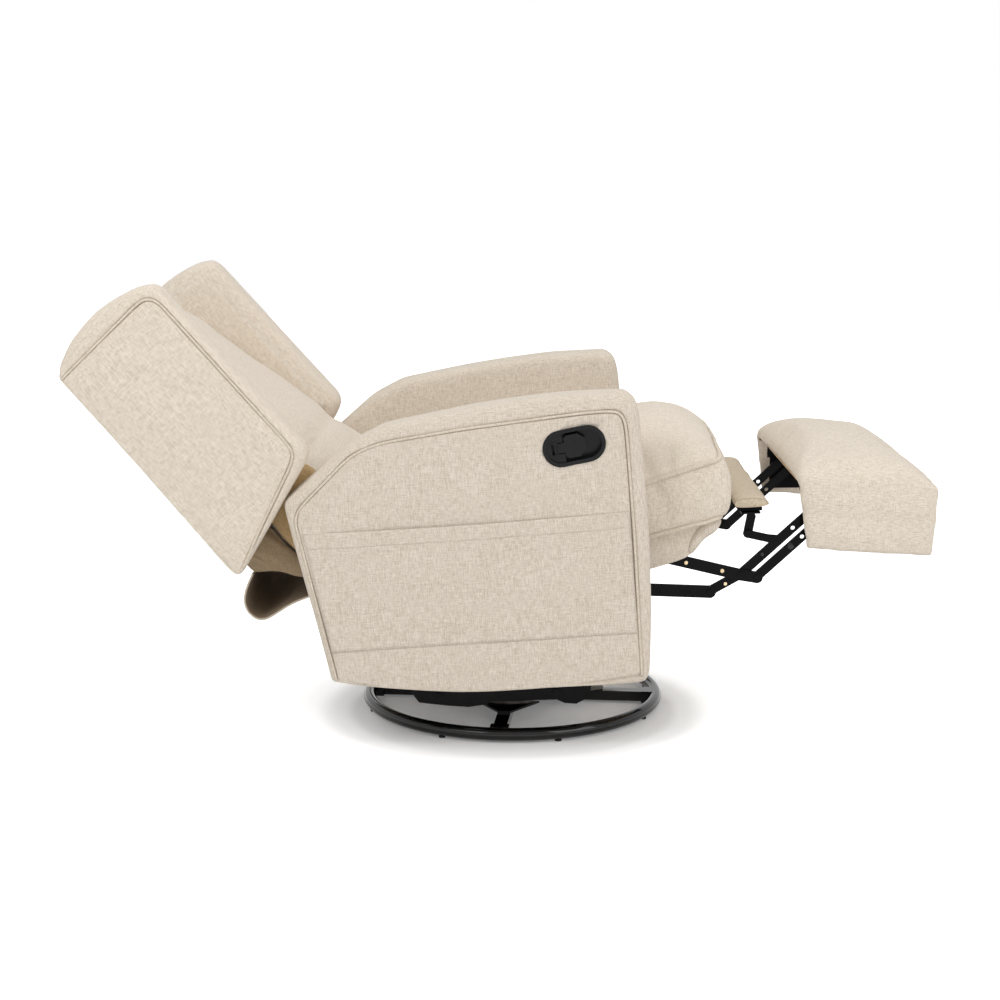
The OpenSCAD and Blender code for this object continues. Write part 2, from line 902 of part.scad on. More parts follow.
module arm_right() {
  color(linen_c)
    body_place()
      right_side()
        difference() {
          arm_solid();
          arm_frame_solid();
          cup_place()
            slab(-cup_depth, 0)
              stadium(cup_len - cup_lip * 2, cup_w - cup_lip * 2);
          cable_wire();
        }
}

module arm_frames() {
  color(timber_c)
    body_place()
      both_sides() arm_frame_solid();
}

module arm_piping() {
  color(piping_c)
    body_place()
      slab(half_w, half_w + piping_d)
        bar_2d([for (p = pipe_pts) [p[0] * arm_long, p[1]]], piping_d);
}

module arm_piping_left() {
  left_side() arm_piping();
}

module arm_piping_right() {
  right_side() arm_piping();
}

module side_pocket() {
  color(pocket_c)
    body_place() {
      slab(half_w, half_w + pocket_gap)
        difference() {
          polygon(pocket_pts);
          polygon(pocket_in);
        }
      slab(half_w + pocket_gap, half_w + pocket_gap + pocket_t)
        polygon(pocket_pts);
      slab(half_w + pocket_gap + pocket_t, half_w + pocket_gap + pocket_t + hem_t)
        polygon(hem_pts);
    }
}

module side_pocket_left() {
  left_side() side_pocket();
}

module side_pocket_right() {
  right_side() side_pocket();
}

module rear_rail() {
  color(timber_c)
    body_place()
      slab(-in_y, in_y)
        polygon(rail_pts);
}

module rear_flap() {
  color(flap_c)
    body_place()
      slab(-in_y + flap_side, in_y - flap_side)
        bar_2d(flap_pts, flap_t);
}

// Frame of the handle cup: X along it, Z across it, Y out of the arm, face at zero
module cup_place() {
  translate([cup_at[0], half_w, cup_at[1]])
    rotate([0, -cup_turn, 0])
      children();
}

module stadium(l, w) {
  square([l - w, w], center = true);
  translate([(l - w) / 2, 0])
    circle(d = w);
  translate([(w - l) / 2, 0])
    circle(d = w);
}

module handle_cup() {
  color(cup_c)
    body_place()
      right_side()
        cup_place() {
          difference() {
            union() {
              slab(0, cup_lip_t)
                stadium(cup_len, cup_w);
              slab(-cup_depth, 0)
                stadium(cup_len - cup_lip * 2, cup_w - cup_lip * 2);
            }
            slab(-cup_depth + cup_floor, cup_lip_t)
              stadium(cup_len - cup_lip * 2 - cup_wall * 2, cup_w - cup_lip * 2 - cup_wall * 2);
          }
          slab(-face_in - face_t, -face_in)
            difference() {
              stadium(cup_len - cup_lip * 2 - cup_wall, cup_w - cup_lip * 2 - cup_wall);
              translate([face_u, -cup_w])
                square([cup_len, cup_w * 2]);
              translate([slot_u, -neck_w / 2 - slot_gap])
                square([cup_len, neck_w + slot_gap * 2]);
            }
          for (s = [-1, 1]) {
            lug_z = s * (barrel_half + lug_gap + lug_t / 2) - lug_t / 2;
            translate([hinge_u - lug_u, -cup_depth + cup_floor, lug_z])
              cube([lug_u * 2, cup_depth - cup_floor - hinge_in + lug_u, lug_t]);
          }
          translate([hinge_u, -hinge_in, -barrel_half - lug_gap])
            cylinder(r = hinge_pin_r, h = (barrel_half + lug_gap) * 2);
        }
}

module handle_paddle() {
  color(paddle_c)
    body_place()
      right_side()
        cup_place()
          difference() {
            union() {
              translate([hinge_u, -hinge_in, -barrel_half])
                cylinder(r = barrel_r, h = barrel_half * 2);
              translate([hinge_u, -hinge_in - paddle_t / 2, -neck_w / 2])
                cube([paddle_pts[0][0] - hinge_u + thin, paddle_t, neck_w]);
              slab(-hinge_in - paddle_t / 2, -hinge_in + paddle_t / 2)
                polygon(paddle_pts);
            }
            translate([hinge_u, -hinge_in, -barrel_half])
              cylinder(r = hinge_pin_r + run, h = barrel_half * 2);
          }
}

// The cable starts on the cup's floor and ends on the body plate
module cable_wire() {
  wire([
    [cable_out[0], half_w - cup_depth - cable_off, cable_out[1]],
    [cable_out[0], half_w - cable_deep, cable_out[1]],
    [cable_low[0], half_w - cable_deep, cable_low[1]],
    [cable_low[0], plate_out + cable_d * 2, cable_low[1]],
    [cable_foot[0], plate_out + cable_off, cable_foot[1]]
  ], cable_d / 2);
}

module release_cable() {
  color(cable_c)
    body_place()
      right_side() cable_wire();
}

module seat_frame() {
  color(timber_c)
    body_place()
      difference() {
        slab(-seat_rail_half, seat_rail_half)
          polygon(seat_frame_pts);
        slab(-seat_win_half, seat_win_half)
          polygon(seat_win_pts);
      }
}

// Points of a zigzag wire along X, about a middle line
function zigzag(span, waves, amp, mid) = [
  for (i = [0 : waves]) [span * i / waves, mid + (i % 2 == 0 ? -amp : amp)]
];

module seat_springs() {
  reach = spring_to - spring_from;
  color(wire_c)
    body_place()
      translate([spring_from[0], 0, spring_from[1]])
        rotate([0, -atan2(reach[1], reach[0]), 0])
          linear_extrude(height = spring_d, center = true)
            for (k = [0 : spring_n - 1]) {
              mid = (k - (spring_n - 1) / 2) * spring_pitch;
              bar_2d(zigzag(norm(reach), spring_waves, spring_amp, mid), spring_d);
            }
}

module seat_hinges() {
  color(frame_c)
    body_place()
      both_sides()
        difference() {
          slab(seat_rail_half, inner_y + link_t)
            polygon(seat_hinge_pts);
          round_pin(piv_seat, pin_d / 2 + run, seat_rail_half + link_t - side_gap, inner_y + link_t);
        }
}

module seat_cushion() {
  color(linen_c)
    body_place()
      crowned(cush_side, cush_mid, in_y - seat_gap, cush_y, crown_pow, seat_crown);
}

module seat_skirt() {
  color(skirt_c)
    body_place() {
      slab(-skirt_out, skirt_out)
        polygon(skirt_pts);
      both_sides()
        slab(skirt_y, skirt_out)
          polygon(skirt_side_pts);
    }
}

module bracket_solid() {
  slab(outer_y, outer_y + link_t) {
    bar_2d(bracket_pts, bracket_w);
    circle(r = bracket_lug);
  }
}

module back_brackets() {
  color(frame_c)
    back_place()
      both_sides()
        difference() {
          bracket_solid();
          round_pin([0, 0], back_pin / 2 + run, outer_y, outer_y + link_t);
        }
}

module back_frame() {
  color(timber_c)
    back_place()
      difference() {
        slab(-outer_y, outer_y)
          polygon(back_frame_pts);
        slab(-back_win_half, back_win_half)
          polygon(back_win_pts);
      }
}

module back_springs() {
  color(wire_c)
    back_place()
      translate([back_spring_x, -back_spring_half, 0])
        rotate([90, 0, 90])
          linear_extrude(height = spring_d, center = true)
            for (z = back_spring_z) {
              bar_2d(zigzag(back_spring_half * 2, spring_waves, back_spring_amp, z), spring_d);
            }
}

module back_shell() {
  color(shell_c)
    back_place()
      difference() {
        union() {
          slab(-shell_half, shell_half)
            polygon(shell_pts);
          slab(-shell_wide, shell_wide)
            polygon(shell_top_pts);
        }
        slab(-shell_half + shell_t, shell_half - shell_t)
          polygon(shell_in_pts);
        both_sides()
          bracket_solid();
      }
}

module back_cushion() {
  color(linen_c)
    back_place() {
      crowned(pad_back_side, pad_back, shell_half, pad_y, crown_pow, 1);
      crowned(pad_lobe_side, pad_lobe, shell_half, pad_y, crown_pow, 1);
      crowned(pad_wide_side, pad_wide_mid, shell_wide - thin / 2, pad_y, crown_pow, 1);
    }
}

module wing() {
  color(linen_c)
    back_place()
      pillow_slab(wing_pts, wing_mid, wing_half, half_w - wing_t, half_w, wing_round);
}

module wing_left() {
  left_side() wing();
}

module wing_right() {
  right_side() wing();
}

module wing_piping() {
  color(piping_c)
    back_place()
      slab(half_w, half_w + piping_d)
        bar_2d(wing_pipe_pts, piping_d);
}

module wing_piping_left() {
  left_side() wing_piping();
}

module wing_piping_right() {
  right_side() wing_piping();
}

module main_links() {
  color(paint_c)
    body_place()
      both_sides()
        difference() {
          slab(outer_y, outer_y + link_t)
            bar_2d([piv_main, piv_main + main_knee, piv_c, piv_p2], main_w);
          round_pin(piv_main, pin_d / 2 + run, outer_y, outer_y + link_t);
          round_pin(piv_c, rivet_d / 2, outer_y, outer_y + link_t);
          round_pin(piv_p2, rivet_d / 2, outer_y, outer_y + link_t);
        }
}

// Rivet held in an outer link, turning in an inner one
module link_rivet(p) {
  round_pin(p, rivet_d / 2, inner_y - head_gap, outer_y + link_t);
  round_pin(p, rivet_d / 2 * head_share, inner_y - head_gap - inner_head_t, inner_y - head_gap);
  round_pin(p, rivet_d / 2 * head_share, outer_y + link_t, outer_y + link_t + head_t);
}

module main_rivets() {
  color(rivet_c)
    body_place()
      both_sides() {
        link_rivet(piv_c);
        link_rivet(piv_p2);
        for (p = main_dots) {
          round_pin(p, dot_r, outer_y + link_t, outer_y + link_t + dot_h);
        }
      }
}

module lower_links() {
  color(paint_c)
    body_place()
      both_sides()
        difference() {
          slab(outer_y, outer_y + link_t)
            bar_2d([piv_lower, piv_lower + lower_knee, piv_p1], lower_w);
          round_pin(piv_lower, pin_d / 2 + run, outer_y, outer_y + link_t);
          round_pin(piv_p1, rivet_d / 2, outer_y, outer_y + link_t);
        }
}

module lower_rivets() {
  color(rivet_c)
    body_place()
      both_sides()
        link_rivet(piv_p1);
}

module front_links() {
  color(paint_c)
    body_place()
      both_sides()
        difference() {
          union() {
            slab(inner_y, inner_y + link_t) {
              bar_2d([piv_p1, piv_c, piv_q1], front_w);
              bar_2d(flip_arm, flip_arm_w);
            }
            round_pin(piv_flip, rivet_d / 2, flip_y - head_gap, inner_y);
            flip_head = flip_y - head_gap;
            round_pin(piv_flip, rivet_d / 2 * head_share, flip_head - inner_head_t, flip_head);
          }
          round_pin(piv_p1, rivet_d / 2 + run, inner_y, inner_y + link_t);
          round_pin(piv_c, rivet_d / 2 + run, inner_y, inner_y + link_t);
          round_pin(piv_q1, rivet_d / 2 + run, inner_y, inner_y + link_t);
          round_pin(front_hole, hole_r, inner_y, inner_y + link_t);
          for (p = front_dots) {
            round_pin(p, hole_r / 2, inner_y, inner_y + link_t);
          }
        }
}

module carry_links() {
  color(paint_c)
    body_place()
      both_sides()
        difference() {
          slab(inner_y, inner_y + link_t)
            bar_2d([piv_p2, piv_q2], front_w);
          round_pin(piv_p2, rivet_d / 2 + run, inner_y, inner_y + link_t);
          round_pin(piv_q2, rivet_d / 2 + run, inner_y, inner_y + link_t);
          round_pin(carry_hole, hole_r, inner_y, inner_y + link_t);
          for (p = carry_dots) {
            round_pin(p, hole_r / 2, inner_y, inner_y + link_t);
          }
        }
}

// Body-frame point in the footrest's frame
function to_rest(p) = [
  (p[0] - rest_at[0]) * cos(rest_dip) - (p[1] - rest_at[1]) * sin(rest_dip),
  (p[0] - rest_at[0]) * sin(rest_dip) + (p[1] - rest_at[1]) * cos(rest_dip)
];

module rest_brackets() {
  q1 = to_rest(piv_q1);
  q2 = to_rest(piv_q2);
  color(paint_c)
    rest_place()
      both_sides()
        difference() {
          union() {
            slab(outer_y, outer_y + link_t) {
              bar_2d([q1, q2], front_w);
              polygon([
                [flange_x[0], -board_t], [q1[0] - front_w / 2, q1[1]], [q2[0] + front_w / 2, q2[1]],
                [flange_x[1], -board_t - flange_t], [flange_x[1], -board_t]
              ]);
            }
            translate([flange_x[0], outer_y - flange_in, -board_t - flange_t])
              cube([flange_x[1] - flange_x[0], flange_in + link_t, flange_t]);
          }
          round_pin(q1, rivet_d / 2, outer_y, outer_y + link_t);
          round_pin(q2, rivet_d / 2, outer_y, outer_y + link_t);
        }
}

module rest_rivets() {
  color(rivet_c)
    body_place()
      both_sides() {
        link_rivet(piv_q1);
        link_rivet(piv_q2);
      }
}

module rest_board() {
  color(timber_c)
    rest_place()
      translate([board_x[0], -board_half - link_t, -board_t])
        cube([board_x[1] - board_x[0], (board_half + link_t) * 2, board_t]);
}

module rest_pad() {
  color(linen_c)
    rest_place()
      crowned(rest_side, rest_mid, rest_w / 2, rest_y, rest_pow, rest_crown);
}

module rest_flap() {
  color(linen_c)
    rest_place()
      pillow_slab(
        rest_flap_pts, rest_flap_mid, rest_flap_half,
        rest_w / 2 - rest_flap_t, rest_w / 2, rest_flap_round
      );
}

module rest_flap_left() {
  left_side() rest_flap();
}

module rest_flap_right() {
  right_side() rest_flap();
}

module flip_brackets() {
  color(paint_c)
    body_place()
      both_sides()
        difference() {
          union() {
            slab(flip_y, flip_y + link_t)
              bar_2d(flip_upright, flip_w);
            slab(flip_y - flip_flange_in, flip_y + link_t)
              polygon(flip_flange_pts);
          }
          round_pin(piv_flip, rivet_d / 2 + run, flip_y, flip_y + link_t);
        }
}

module flip_pad() {
  color(skirt_c)
    body_place() {
      pillow_slab(flip_pts, flip_mid, flip_half, -flip_pad_half, flip_pad_half, flip_round);
      slab(-flip_pad_half + flip_round, flip_pad_half - flip_round)
        polygon(flip_board_pts);
    }
}

base_ring();
base_cross();
base_feet();
swivel_race_lower();
swivel_balls();
swivel_rivet();
swivel_race_upper();
glider_pan();
glider_side_left();
glider_side_right();
glider_tubes();
glide_pins_upper();
glide_links_front();
glide_links_rear();
body_plate_left();
body_plate_right();
body_tubes();
pivot_bolts();
deck_cloth();
arm_brackets();
arm_left();
arm_right();
arm_frames();
arm_piping_left();
arm_piping_right();
side_pocket_left();
side_pocket_right();
rear_rail();
rear_flap();
handle_cup();
handle_paddle();
release_cable();
seat_frame();
seat_springs();
seat_hinges();
seat_cushion();
seat_skirt();
back_frame();
back_springs();
back_brackets();
back_shell();
back_cushion();
wing_left();
wing_right();
wing_piping_left();
wing_piping_right();
main_links();
main_rivets();
lower_links();
lower_rivets();
front_links();
carry_links();
rest_brackets();
rest_rivets();
rest_board();
rest_pad();
rest_flap_left();
rest_flap_right();
flip_brackets();
flip_pad();
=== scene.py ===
"""Looks of the swivel glider recliner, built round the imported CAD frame.

Lengths are millimetres until a mesh is made.
"""

import math

import bmesh
import bpy
import numpy as np
from mathutils import Matrix, Vector, noise
from mathutils.kdtree import KDTree


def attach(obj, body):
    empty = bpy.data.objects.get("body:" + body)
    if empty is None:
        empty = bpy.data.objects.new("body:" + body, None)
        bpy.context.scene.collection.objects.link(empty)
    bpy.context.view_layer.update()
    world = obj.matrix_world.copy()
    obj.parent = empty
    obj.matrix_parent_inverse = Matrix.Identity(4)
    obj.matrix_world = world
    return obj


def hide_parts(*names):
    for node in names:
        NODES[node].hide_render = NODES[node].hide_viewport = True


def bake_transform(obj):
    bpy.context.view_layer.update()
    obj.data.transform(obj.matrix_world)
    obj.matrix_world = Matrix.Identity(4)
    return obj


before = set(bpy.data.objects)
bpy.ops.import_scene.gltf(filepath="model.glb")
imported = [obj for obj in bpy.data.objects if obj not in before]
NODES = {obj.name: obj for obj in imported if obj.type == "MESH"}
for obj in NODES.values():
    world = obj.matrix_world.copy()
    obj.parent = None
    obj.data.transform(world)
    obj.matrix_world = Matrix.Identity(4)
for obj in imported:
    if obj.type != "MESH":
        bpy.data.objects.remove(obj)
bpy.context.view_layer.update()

# The CAD's placing values, in millimetres and degrees
PLAN_X, BODY_Z, LEAN, BACK_LEAN, REST_DIP = 6.24, 110.0, 3.8, 38.2, 7.5
BACK_PIVOT, REST_AT, CUP_AT, CUP_TURN = (-137.0, 199.5), (562.0, 354.0), (140.4, 469.7), 8.0
CUP_LEN, CUP_WIDE, CUP_DEEP = 107.0, 59.0, 26.0
HALF_W, IN_Y, WING_T = 390.0, 294.0, 84.0
SEAT_HALF, REST_HALF, REST_FLAP_T = 287.0, 287.0, 16.0


def moved(x, z):
    return Matrix.Translation((x, 0, z))


def turned(angle):
    return Matrix.Rotation(math.radians(angle), 4, "Y")


BODY_AT = moved(PLAN_X, BODY_Z) @ turned(-LEAN)
BACK_AT = BODY_AT @ moved(*BACK_PIVOT) @ turned(-BACK_LEAN)
REST_FRAME = BODY_AT @ moved(*REST_AT) @ turned(REST_DIP)
TO_M = Matrix.Scale(0.001, 4)
SIDES = ((1, "left"), (-1, "right"))

# Camera fitted to the photo, in metres and radians
CAMERA_AT = (-0.0167 + PLAN_X / 1000, -3.8046, 1.1261)
CAMERA_DIP, CAMERA_PAN = 0.1845, 0.0023
LENS, SENSOR = 69.04, 36.0


def make_camera():
    data = bpy.data.cameras.new("camera")
    data.sensor_width = SENSOR
    data.lens = LENS
    cam = bpy.data.objects.new("camera", data)
    bpy.context.scene.collection.objects.link(cam)
    cam.location = CAMERA_AT
    cam.rotation_euler = (math.pi / 2 - CAMERA_DIP, 0, CAMERA_PAN)
    bpy.context.scene.camera = cam


make_camera()


# Shapes

def convex(points):
    """Corners of the hull of some points, anticlockwise."""
    chains = []
    for row in (sorted(map(tuple, points)), sorted(map(tuple, points), reverse=True)):
        chain = []
        for q in row:
            while len(chain) > 1:
                (ax, az), (bx, bz) = chain[-2:]
                if (bx - ax) * (q[1] - az) - (bz - az) * (q[0] - ax) > 0:
                    break
                chain.pop()
            chain.append(q)
        chains += chain[:-1]
    return np.array(chains, float)


def polar(points, mid, sharp):
    """Distance of an outline's convex hull from a point inside it, by direction and inset."""
    p = convex(points)
    e = np.roll(p, -1, 0) - p
    keep = np.hypot(*e.T) > 1e-6
    p, e = p[keep], e[keep]
    n = np.stack([e[:, 1], -e[:, 0]], 1) / np.hypot(*e.T)[:, None]
    h = np.sum(n * (p - mid), 1)

    def radius(t, d):
        u = np.stack([np.cos(t), np.sin(t)], 1)
        q = np.maximum(u @ n.T, 1e-6) / np.maximum(h - d, 1.0)
        top = q.max(1)
        return 1 / (top * np.sum((q / top[:, None]) ** sharp, 1) ** (1 / sharp))

    return radius


def outline(points, count, sharp, panel):
    """Rings of a convex outline at any inset, and rings of the panel inside it."""
    p = np.array(points, float)
    mid = (p.min(0) + p.max(0)) / 2
    radius = polar(p, mid, sharp)
    inner = polar(panel, mid, sharp) if panel else None
    fine = np.linspace(0, 2 * np.pi, 4000, endpoint=False)
    r = radius(fine, 0)
    xy = np.stack([np.cos(fine), np.sin(fine)], 1) * r[:, None]
    step = np.hypot(*(np.roll(xy, -1, 0) - xy).T)
    s = np.concatenate([[0], np.cumsum(step)])
    at = np.interp(np.linspace(0, s[-1], count, endpoint=False), s, np.append(fine, 2 * np.pi))

    way = np.stack([np.cos(at), np.sin(at)], 1)

    def ring(d):
        return mid + way * radius(at, d)[:, None]

    def between(f, d=0.0):
        """From the outline, f = 0, to the panel's edge, f = 1, and the room between them."""
        full = radius(at, 0)
        edge = np.minimum(inner(at, d), full - 5)
        return mid + way * (full + (edge - full) * f)[:, None], np.clip((full - inner(at, 0)) / 8 - 0.4, 0, 1)

    return ring, mid, between


def mesh_object(name, verts, faces, place=None, smooth=True):
    me = bpy.data.meshes.new(name)
    m = TO_M @ (place or Matrix.Identity(4))
    me.from_pydata([m @ Vector(v) for v in verts], [], faces)
    me.validate()
    bm = bmesh.new()
    bm.from_mesh(me)
    bmesh.ops.remove_doubles(bm, verts=bm.verts, dist=1e-6)
    bmesh.ops.recalc_face_normals(bm, faces=bm.faces)
    bm.to_mesh(me)
    bm.free()
    ob = bpy.data.objects.new(name, me)
    bpy.context.scene.collection.objects.link(ob)
    if smooth:
        me.polygons.foreach_set("use_smooth", [True] * len(me.polygons))
    return ob


def loft(name, rings, place, ends="fan"):
    """Skin over rings of equal count.

    Its ends are closed by a fan, one flat face, or pairs across a folded ring.
    """
    n = len(rings[0])
    verts = [tuple(v) for r in rings for v in r]
    faces = []
    for k in range(len(rings) - 1):
        for i in range(n):
            j = (i + 1) % n
            faces.append((k * n + i, k * n + j, (k + 1) * n + j, (k + 1) * n + i))
    for k, flip in ((0, True), (len(rings) - 1, False)):
        at = k * n
        if ends == "flat":
            faces.append(tuple(range(at, at + n)))
        elif ends == "pairs":
            faces += [(at + i, at + i + 1, at + n - 2 - i, at + n - 1 - i) for i in range(n // 2 - 1)]
        elif ends == "fan":
            mid = tuple(np.mean(np.array(rings[k], float), 0))
            verts.append(mid)
            c = len(verts) - 1
            for i in range(n):
                j = (i + 1) % n
                faces.append((k * n + j, k * n + i, c) if flip else (k * n + i, k * n + j, c))
    return mesh_object(name, verts, faces, place)


# Seam round a panel: inset from the panel's outline, and depth under the face
SEAM_FORM = ((-3.4, 0.0), (-2.6, 2.2), (0.0, 3.2), (2.3, 3.4), (2.9, 1.6), (3.6, -0.4), (7.0, -1.0))
SEAM_LIP, SEAM_END, PANEL_RISE = SEAM_FORM[0][0] - 0.1, SEAM_FORM[-1][0], 1.0
WAIST = 1.2

# Rings of a slab: angles of its rims in degrees, and shares of the way to the middle of its faces
RIM_IN, RIM_OUT, RIM_PANEL = (90, 70, 50, 30, 12), (12, 30, 50, 70), (10, 22, 34, 46, 58, 70, 80)
FACE_IN, FACE_OUT = (0.93, 0.8, 0.65, 0.5, 0.35, 0.22, 0.12), (0.14, 0.22, 0.35, 0.5, 0.65, 0.8, 0.93)
FACE_PANEL = (0.1, 0.18, 0.3, 0.45, 0.6, 0.75, 0.9)


def slab_pad(name, points, y_in, y_out, place, side, count, sharp, rim, crown, panel=None):
    """Padded slab: rolled rims, crowned faces, and a seam round the panel on its outer face."""
    ring, mid, between = outline(points, count, sharp, panel)
    rin, rout = rim
    reach = min(np.hypot(*(ring(0) - mid).T))
    rows = []

    def row(d, y):
        rows.append([(x, side * y, z) for x, z in ring(d)])

    def roll(angle):
        """Inset and rise of a rim of radius 1."""
        a = math.radians(angle)
        return 1 - math.cos(a), 1 - math.sin(a)

    def crowned(height, f):
        return height * math.sin(f * math.pi / 2) ** 0.6

    for f in FACE_IN:
        row(max(reach * f, rin + 6), y_in - crowned(crown[0], f))
    for a in RIM_IN:
        d, up = roll(a)
        row(rin * d, y_in + rin * up)
    thick = y_out - y_in
    for f in (0.25, 0.5, 0.75):
        row(-WAIST * math.sin(math.pi * f), y_in + rin + (thick - rin - rout) * f)
    if panel:
        for a in RIM_PANEL:
            d, up = roll(a)
            t, _ = between(d, SEAM_LIP)
            rows.append([(x, side * (y_out - rout * up), z) for x, z in t])
        for inset, low in SEAM_FORM:
            t, room = between(1.0, inset)
            rows.append([(x, side * (y_out - low * m), z) for (x, z), m in zip(t, room)])
        for f in FACE_PANEL:
            t, _ = between(1.0, SEAM_END)
            t = t + (mid - t) * f
            y = y_out + PANEL_RISE + crowned(crown[1], f)
            rows.append([(x, side * y, z) for x, z in t])
    else:
        for a in RIM_OUT:
            d, up = roll(a)
            row(rout * d, y_out - rout * up)
        row(rout + 2, y_out)
        for f in FACE_OUT:
            row(max(reach * f, rout + 4), y_out + crowned(crown[1], f))
    return loft(name, rows, place)


def lengths(path):
    """Length along a polyline at each of its points."""
    return np.concatenate([[0], np.cumsum(np.linalg.norm(np.diff(path, axis=0), axis=1))])


def at_lengths(path, run):
    """Points of a polyline at some lengths along it."""
    d = lengths(path)
    return np.stack([np.interp(run, d, path[:, k]) for k in range(path.shape[1])], 1)


def smooth_path(points, step=6.0, closed=False, turn=3):
    """Points of a polyline whose corners are cut round, a fixed step apart."""
    p = np.array(points, float)
    for _ in range(turn):
        q = []
        m = len(p)
        for i in range(m if closed else m - 1):
            a, b = p[i], p[(i + 1) % m]
            ln = np.linalg.norm(b - a)
            c = min(0.25, 14.0 / max(ln, 1e-6))
            q += [a + (b - a) * c, b - (b - a) * c]
        p = np.array(q) if closed else np.array([p[0]] + q + [p[-1]])
    if closed:
        p = np.vstack([p, p[:1]])
    long = lengths(p)[-1]
    out = at_lengths(p, np.linspace(0, long, max(4, int(long / step)) + 1))
    return out[:-1] if closed else out


def tube(name, path, radius, place, sides=10, closed=False, normal=(0, 1, 0)):
    """Round tube along a path, a little uneven."""
    p = np.array(path, float)
    t = np.gradient(p, axis=0) if not closed else (np.roll(p, -1, 0) - np.roll(p, 1, 0))
    t /= np.linalg.norm(t, axis=1)[:, None]
    nrm = np.array(normal, float)
    turns = np.linspace(0, 2 * math.pi, sides, endpoint=False)
    rings = []
    for i in range(len(p)):
        b = np.cross(t[i], nrm)
        b /= max(np.linalg.norm(b), 1e-9)
        c = np.cross(b, t[i])
        r = radius * (1 + 0.05 * noise.noise(Vector(p[i]) * 0.04))
        rings.append([p[i] + r * (math.cos(a) * b + math.sin(a) * c) for a in turns])
    if closed:
        rings.append(rings[0])
    return loft(name, rings, place, ends="open" if closed else "fan")


def stitches(name, lines, place, out, pitch=4.6, length=3.0, thick=0.5):
    """Rows of single stitches along polylines; out is the way they stand proud."""
    verts, faces = [], []
    o = np.array(out, float)
    for line in lines:
        p = np.array(line, float)
        for start in np.arange(pitch / 2, lengths(p)[-1] - length, pitch):
            a, b = at_lengths(p, (start, start + length))
            t = (b - a) / np.linalg.norm(b - a)
            w = np.cross(t, o)
            n = len(verts)
            verts += [tuple(a), tuple(b)]
            for f in (0.25, 0.75):
                c = a + (b - a) * f
                verts += [tuple(c + thick * v) for v in (w, o, -w, -0.6 * o)]
            for i in range(4):
                j = (i + 1) % 4
                near, far = (n + 2 + i, n + 2 + j), (n + 6 + i, n + 6 + j)
                faces += [(n, near[1], near[0]), (*near, far[1], far[0]), (n + 1, *far)]
    return mesh_object(name, verts, faces, place)


def cut_hole(ob, name, points, y0, y1, place):
    """Cuts a prism, whose outline lies in X and Z, out of a closed mesh."""
    cutter = loft(name, [[(x, y, z) for x, z in points] for y in (y0, y1)], place)
    m = ob.modifiers.new("hole", "BOOLEAN")
    m.operation, m.solver, m.object = "DIFFERENCE", "EXACT", cutter
    apply_modifiers(ob)
    bpy.data.objects.remove(cutter)


def stadium(at, turn, length, width, count=24):
    """Outline with round ends, turned about its middle."""
    half, r = (length - width) / 2, width / 2
    pts = []
    for sgn, start in ((1, -90), (-1, 90)):
        for a in np.radians(np.linspace(start, start + 180, count)):
            pts.append((sgn * half + r * math.cos(a), r * math.sin(a)))
    c, n = math.cos(math.radians(turn)), math.sin(math.radians(turn))
    return [(at[0] + u * c - v * n, at[1] + u * n + v * c) for u, v in pts]


def verts_of(ob):
    co = np.zeros(len(ob.data.vertices) * 3)
    ob.data.vertices.foreach_get("co", co)
    return co.reshape(-1, 3)


def set_verts(ob, co):
    ob.data.vertices.foreach_set("co", co.astype(float).ravel())
    ob.data.update()


def normals_of(ob):
    nr = np.zeros(len(ob.data.vertices) * 3)
    ob.data.vertices.foreach_get("normal", nr)
    return nr.reshape(-1, 3)


def ripple(ob, size, height, seed, stretch=(1, 1, 1)):
    """Soft unevenness along the normals, in millimetres."""
    co, nr = verts_of(ob), normals_of(ob)
    s = np.array(stretch) * 1000.0 / size
    start = Vector((seed, seed * 1.7, 0))
    h = np.array([noise.fractal(Vector(c * s) + start, 1.0, 2.0, 3) for c in co])
    set_verts(ob, co + nr * (h * height / 1000.0)[:, None])


def apply_modifiers(ob):
    dg = bpy.context.evaluated_depsgraph_get()
    me = bpy.data.meshes.new_from_object(ob.evaluated_get(dg))
    ob.modifiers.clear()
    old = ob.data
    ob.data = me
    bpy.data.meshes.remove(old)
    me.polygons.foreach_set("use_smooth", [True] * len(me.polygons))


# Materials

def set_inputs(node, **values):
    """Sets a node's inputs by name, with _ for a space."""
    for key, value in values.items():
        node.inputs[key.replace("_", " ")].default_value = value
    return node


def noise_node(nt, vector, **values):
    node = set_inputs(nt.nodes.new("ShaderNodeTexNoise"), **values)
    nt.links.new(vector, node.inputs["Vector"])
    return node.outputs["Fac"]


def bump_node(nt, height, strength, distance):
    node = set_inputs(nt.nodes.new("ShaderNodeBump"), Strength=strength, Distance=distance)
    nt.links.new(height, node.inputs["Height"])
    return node.outputs[0]


def ramp_node(nt, factor, stops, interpolation="LINEAR"):
    """Colour ramp with a stop for each pair of place and colour."""
    node = nt.nodes.new("ShaderNodeValToRGB")
    ramp = node.color_ramp
    ramp.interpolation = interpolation
    for k, (at, color) in enumerate(stops):
        stop = ramp.elements[k] if k < 2 else ramp.elements.new(at)
        stop.position = at
        stop.color = (*color, 1)
    nt.links.new(factor, node.inputs["Fac"])
    return node.outputs["Color"]


def maths(nt, operation, a, b):
    """Output of a maths node on two numbers or outputs."""
    node = nt.nodes.new("ShaderNodeMath")
    node.operation = operation
    for k, x in enumerate((a, b)):
        if isinstance(x, (int, float)):
            node.inputs[k].default_value = x
        else:
            nt.links.new(x, node.inputs[k])
    return node.outputs[0]


def total(nt, *parts):
    """Sum of outputs, each with its share."""
    out = None
    for socket, share in parts:
        part = maths(nt, "MULTIPLY", socket, share)
        out = part if out is None else maths(nt, "ADD", out, part)
    return out


